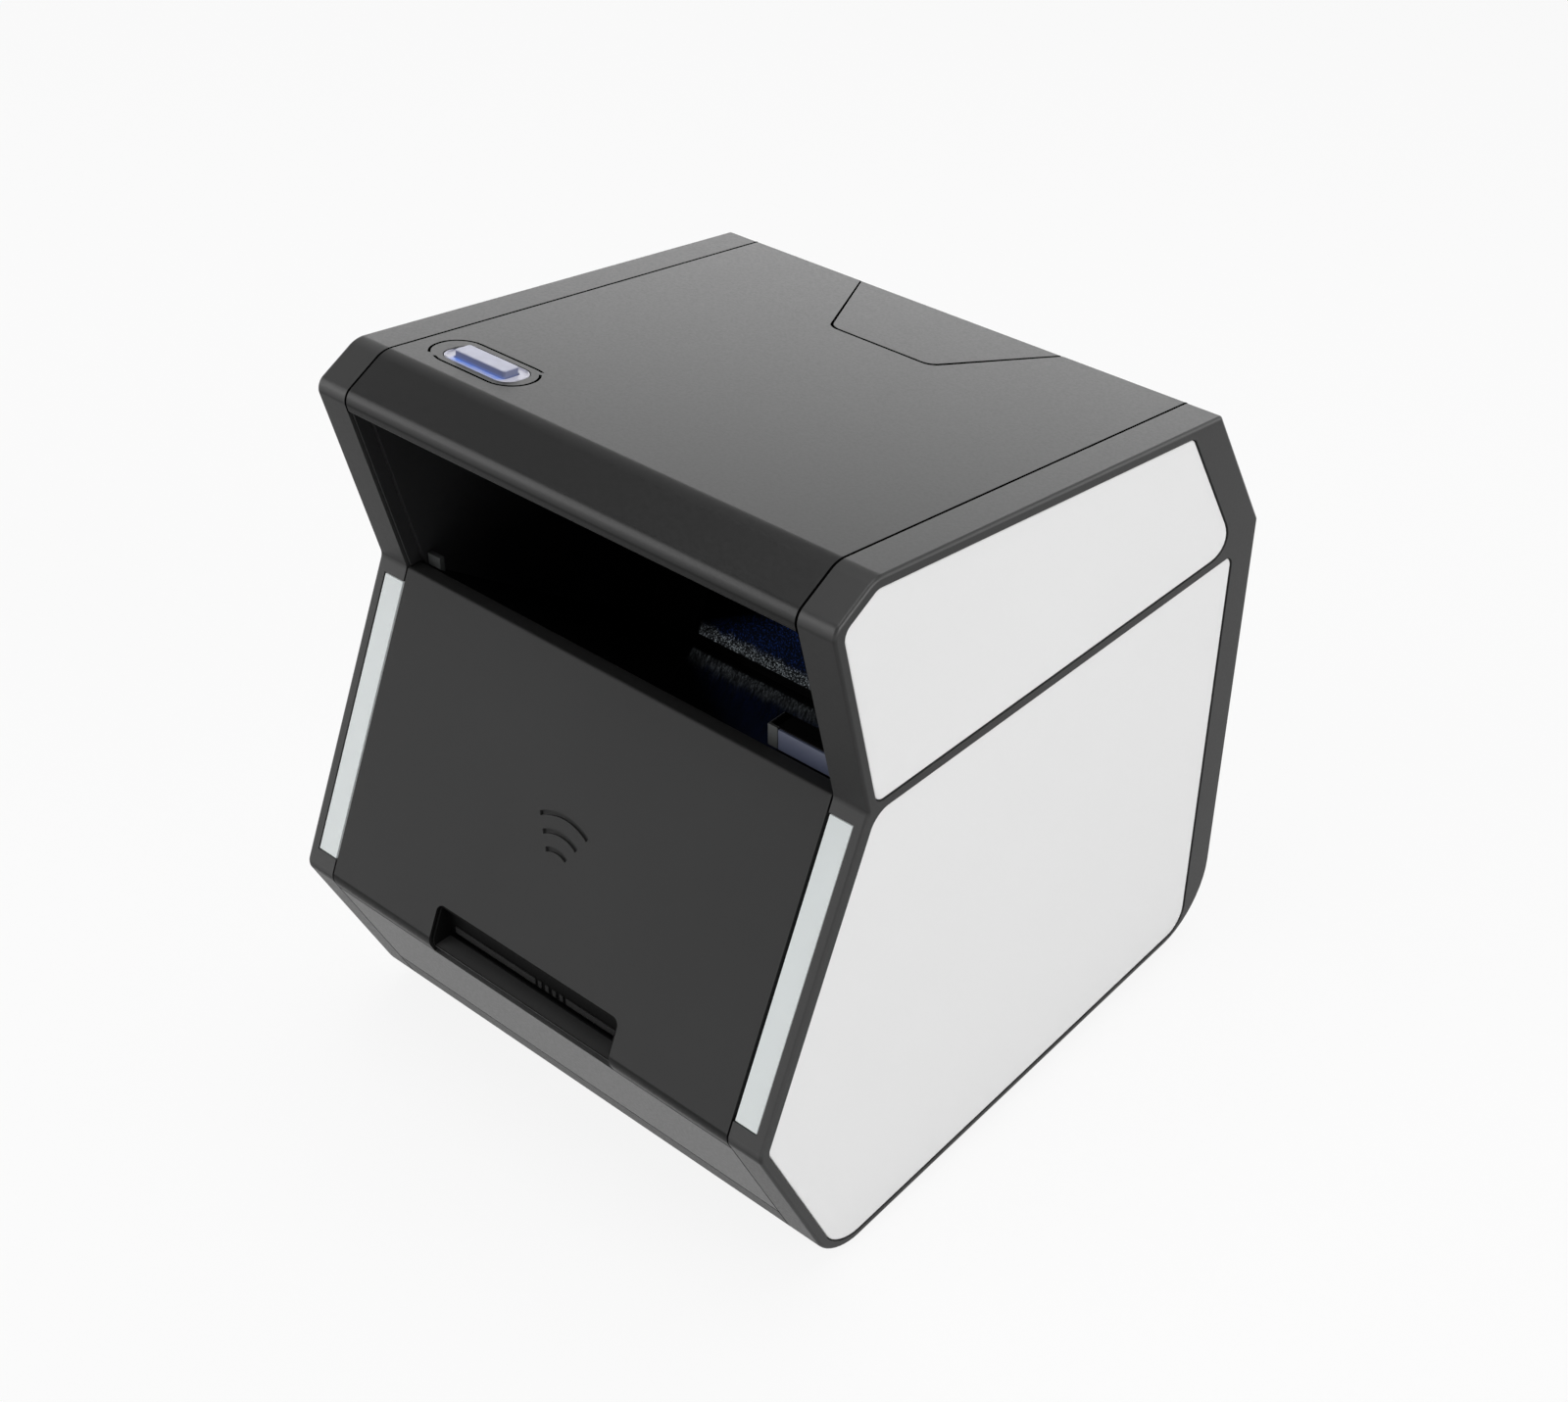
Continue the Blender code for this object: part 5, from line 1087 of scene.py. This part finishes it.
class PRINTER_OT_sockets(bpy.types.Operator):
    """Build the rear sockets with their contacts"""
    bl_idname = "printer.sockets"
    bl_label = "Sockets"

    def execute(self, context):
        face, floor = SOCKET_FACE, side(0, SOCKET_FLOOR).y
        bottom, root = face - BORE_DEPTH, face - BORE_DEPTH - 0.0002
        for name, (x, width, height) in SOCKETS.items():
            body = block((x - width / 2, face - SOCKET_DEPTH, floor), (x + width / 2, face, floor + height))
            z = floor + height / 2
            if name == "network_socket":
                cutters = [block((x - 0.0059, bottom, z - 0.0042), (x + 0.0059, face + 0.01, z + 0.0042)),
                           block((x - 0.003, face - 0.009, z - 0.0056), (x + 0.003, face + 0.01, z - 0.004))]
                for k in range(8):
                    start = x - 0.00375 + 0.001 * k
                    wire = block((start, root, z + 0.0022), (start + 0.0005, face - 0.003, z + 0.0027), 0.0001, 1)
                    settle(f"network_contact_{k}", wire, "contact")
            elif name == "data_socket":
                cutters = [bore(x, z, 0.0043, 0.0017, 0.0015, bottom)]
                tongue = block((x - 0.0033, root, z - 0.00035), (x + 0.0033, face - 0.001, z + 0.00035), 0.0001)
                settle("data_tongue", tongue, "contact")
            else:
                cutters = [bore(x, z, 0.0032, 0.0032, 0.00319, bottom, segments=DETAIL_STEPS)]
                pin = bore(x, z, 0.001, 0.001, 0.00099, root, 0.011)
                soften(pin, lambda edge: all(v.co.y > face - 0.002 for v in edge.verts), 0.0004, 3)
                settle("power_pin", pin, "steel")
            settle(f"{name}_body", carve(body, cutters), "socket", [name], edge=0.0002)
        return {"FINISHED"}


def bore(x, z, half_width, half_height, corner, start, length=0.02, segments=6):
    """Return a rounded bar that runs along the depth of a rear socket."""
    mesh = slab(x - half_width, x + half_width, z - half_height, z + half_height, -start - length, -start, corner,
                segments=segments)
    turn(mesh, pi / 2, "X")
    return mesh


class PRINTER_OT_paper_roll(bpy.types.Operator):
    """Build the paper roll"""
    bl_idname = "printer.paper_roll"
    bl_label = "Paper Roll"

    def execute(self, context):
        low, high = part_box("paper_roll")
        core_low, core_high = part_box("roll_core")
        centre = Vector(((low[1] + high[1]) / 2, (low[2] + high[2]) / 2))
        core = rod(centre, (core_high[1] - core_low[1]) / 2, low[0] - 0.01, high[0] + 0.01, 64)
        roll = carve(rod(centre, (high[1] - low[1]) / 2, low[0], high[0], 96), [core])
        settle("wound_roll", roll, "paper", ["paper_roll"], "roll", 0.0003)
        return {"FINISHED"}


NODE_FINISHES = {
    "bay": ["bay_liner"],
    "glass": ["bay_glass"],
    "rim": ["door_catch", "roll_spindle", "camera_module"],
    "board": ["main_board", "port_board", "antenna_board", "left_light_board", "right_light_board",
              "switch_board", "window_light_bar"],
    "gear": ["platen_gear", "idler_gear"],
    "steel": ["print_chassis", "platen_shaft", "idler_pin", "drive_motor", "head_rod", "fixed_blade",
              "cutter_blade", "door_hinge_pin", "left_roll_bracket", "right_roll_bracket",
              "left_chassis_screw", "right_chassis_screw"],
    "aluminium": ["thermal_head", "cutter_guide"],
    "brass": ["motor_pinion"],
    "rubber": ["platen_roller"],
    "card": ["roll_core"],
}


class PRINTER_OT_inside(bpy.types.Operator):
    """Give the kept inner pieces their finishes"""
    bl_idname = "printer.inside"
    bl_label = "Inner Pieces"

    def execute(self, context):
        for finish, names in NODE_FINISHES.items():
            for name in names:
                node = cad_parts[name]
                node.data.materials.clear()
                node.data.materials.append(FINISHES[finish])
        return {"FINISHED"}


# The world's levels low at the rear left, in front and overhead, the way to the rear left, the fall with height,
# and the white at the horizon
REAR_GLOW = 3.05
FRONT_GLOW = 0.15
OVERHEAD = 0.05
REAR_WAY = (-0.6, 0.8, 0.0)
FALL = ((0.19, 1.0), (0.32, 0.13), (0.6, 0.09), (0.85, 0.04), (1.0, 0.0))
HORIZON = 0.9
# The lamps' names, places, widths, heights and powers, and the point that they light
LAMPS = (
    ("left_panel", (-1.5, 0.2, 0.8), 1.2, 1.0, 1.0),
    ("front_left_panel", (-0.9, -1.2, 0.8), 1.2, 1.0, 7.5),
    ("right_panel", (1.6, 0.2, 0.7), 1.4, 1.0, 14.7),
    ("top_panel", (0.0, 0.0, 1.8), 1.4, 1.4, 12.0),
)
TARGET = Vector((0, 0, 0.09))
# The share of plain white in the floor that is seen, and the camera
WHITE_SHARE = 0.88
LENS = 51.77
CAMERA_PLACE = (0.31473, -0.35714, 0.44335)
CAMERA_WAY = Vector((-0.5314, 0.6079, -0.5900))


class PRINTER_OT_stage(bpy.types.Operator):
    """Set the floor, the light and the camera"""
    bl_idname = "printer.stage"
    bl_label = "Stage"

    def execute(self, context):
        scene = context.scene
        scene.view_settings.view_transform = "Standard"
        self.floor()
        self.world(scene)
        self.lamps(scene)
        self.camera(scene)
        return {"FINISHED"}

    def floor(self):
        """Lay a wide pale floor that keeps the object's shadow."""
        material, add, shader, _ = start_finish("white_sweep")
        fill(shader, {"Base Color": linear("f4f4f4"), "Roughness": 0.9, "Specular IOR Level": 0.0})
        path = add("LightPath").outputs
        seen = add("Math", (path["Is Camera Ray"], path["Is Glossy Ray"]), operation="MAXIMUM")
        seen = add("Math", (seen, path["Is Transmission Ray"]), operation="MAXIMUM")
        share = add("Math", (seen, WHITE_SHARE))
        white = add("Emission", {"Color": (1, 1, 1, 1), "Strength": 1.0})
        both = add("MixShader", (share, shader, white))
        fill(material.node_tree.nodes["Material Output"], {"Surface": both})
        mesh = bmesh.new()
        bmesh.ops.create_grid(mesh, x_segments=1, y_segments=1, size=40.0)
        floor = make_object("floor", mesh)
        floor.data.materials.append(material)

    def world(self, scene):
        """Light the scene softly all round: brightest low at the rear left, darker overhead."""
        world = bpy.data.worlds.new("studio")
        world.use_nodes = True
        scene.world = world
        add = partial(add_node, world.node_tree)
        way = add("TexCoord").outputs["Generated"]
        facing = add("VectorMath", (way, REAR_WAY), operation="DOT_PRODUCT")
        around = add("MapRange", (facing, -0.2, 0.7, FRONT_GLOW, REAR_GLOW))
        height = add("SeparateXYZ", (way,)).outputs["Z"]
        fall = add("ValToRGB", (height,))
        stops = fall.color_ramp.elements
        stops[0].position, stops[1].position = FALL[0][0], FALL[-1][0]
        for place, _ in FALL[1:-1]:
            stops.new(place)
        for stop, (_, share) in zip(stops, FALL):
            stop.color = (share, share, share, 1.0)
        soft = add("MapRange", (fall, 0.0, 1.0, OVERHEAD, around))
        white = add("MapRange", (height, 0.04, 0.1, HORIZON, 0.0))
        level = add("Math", (soft, white), operation="MAXIMUM")
        fill(world.node_tree.nodes["Background"], {"Color": (1, 1, 1, 1), "Strength": level})

    def lamps(self, scene):
        """Hang large soft panels round the object."""
        for name, place, width, height, power in LAMPS:
            data = bpy.data.lights.new(name, "AREA")
            data.shape = "RECTANGLE"
            data.size = width
            data.size_y = height
            data.energy = power
            self.stand(scene, name, data, place, TARGET - Vector(place))

    def camera(self, scene):
        """Stand the camera where the photograph was taken from."""
        data = bpy.data.cameras.new("camera")
        data.sensor_width = 36.0
        data.sensor_fit = "HORIZONTAL"
        data.lens = LENS
        data.clip_start = 0.01
        scene.camera = self.stand(scene, "camera", data, CAMERA_PLACE, CAMERA_WAY)

    def stand(self, scene, name, data, place, way):
        """Stand a lamp or the camera at a place, and turn it to look a way."""
        item = bpy.data.objects.new(name, data)
        item.location = place
        item.rotation_euler = way.to_track_quat("-Z", "Y").to_euler()
        scene.collection.objects.link(item)
        return item


OPERATORS = (
    PRINTER_OT_stage, PRINTER_OT_side_frames, PRINTER_OT_inlays, PRINTER_OT_light_strips, PRINTER_OT_top_cover,
    PRINTER_OT_power_button, PRINTER_OT_front_panel, PRINTER_OT_outlet, PRINTER_OT_base, PRINTER_OT_rear,
    PRINTER_OT_bay, PRINTER_OT_sockets, PRINTER_OT_paper_roll, PRINTER_OT_inside,
)


class PRINTER_PT_panel(bpy.types.Panel):
    """List the printer's pieces and settings in the sidebar"""
    bl_idname = "PRINTER_PT_panel"
    bl_label = "Receipt Printer"
    bl_space_type = "VIEW_3D"
    bl_region_type = "UI"
    bl_category = "Printer"

    def draw(self, context):
        for group in (context.scene.printer_sizes, context.scene.printer_colours):
            for key in group.__annotations__:
                self.layout.prop(group, key)
        for operator in OPERATORS:
            self.layout.operator(operator.bl_idname)


CLASSES = (PrinterSizes, PrinterColours, *OPERATORS, PRINTER_PT_panel)


def register():
    """Register the classes and hang their settings on the scene."""
    for item in CLASSES:
        bpy.utils.register_class(item)
    bpy.types.Scene.printer_sizes = PointerProperty(type=PrinterSizes)
    bpy.types.Scene.printer_colours = PointerProperty(type=PrinterColours)


def unregister():
    """Take the settings and the classes away again."""
    del bpy.types.Scene.printer_colours
    del bpy.types.Scene.printer_sizes
    for item in reversed(CLASSES):
        bpy.utils.unregister_class(item)


def main():
    """Build the stage and every piece."""
    register()
    make_finishes(bpy.context.scene.printer_colours)
    bpy.ops.printer.stage()
    bpy.ops.printer.side_frames()
    bpy.ops.printer.inlays()
    bpy.ops.printer.light_strips()
    bpy.ops.printer.top_cover()
    bpy.ops.printer.power_button()
    bpy.ops.printer.front_panel()
    bpy.ops.printer.outlet()
    bpy.ops.printer.base()
    bpy.ops.printer.rear()
    bpy.ops.printer.bay()
    bpy.ops.printer.sockets()
    bpy.ops.printer.paper_roll()
    bpy.ops.printer.inside()


if __name__ == "__main__":
    main()
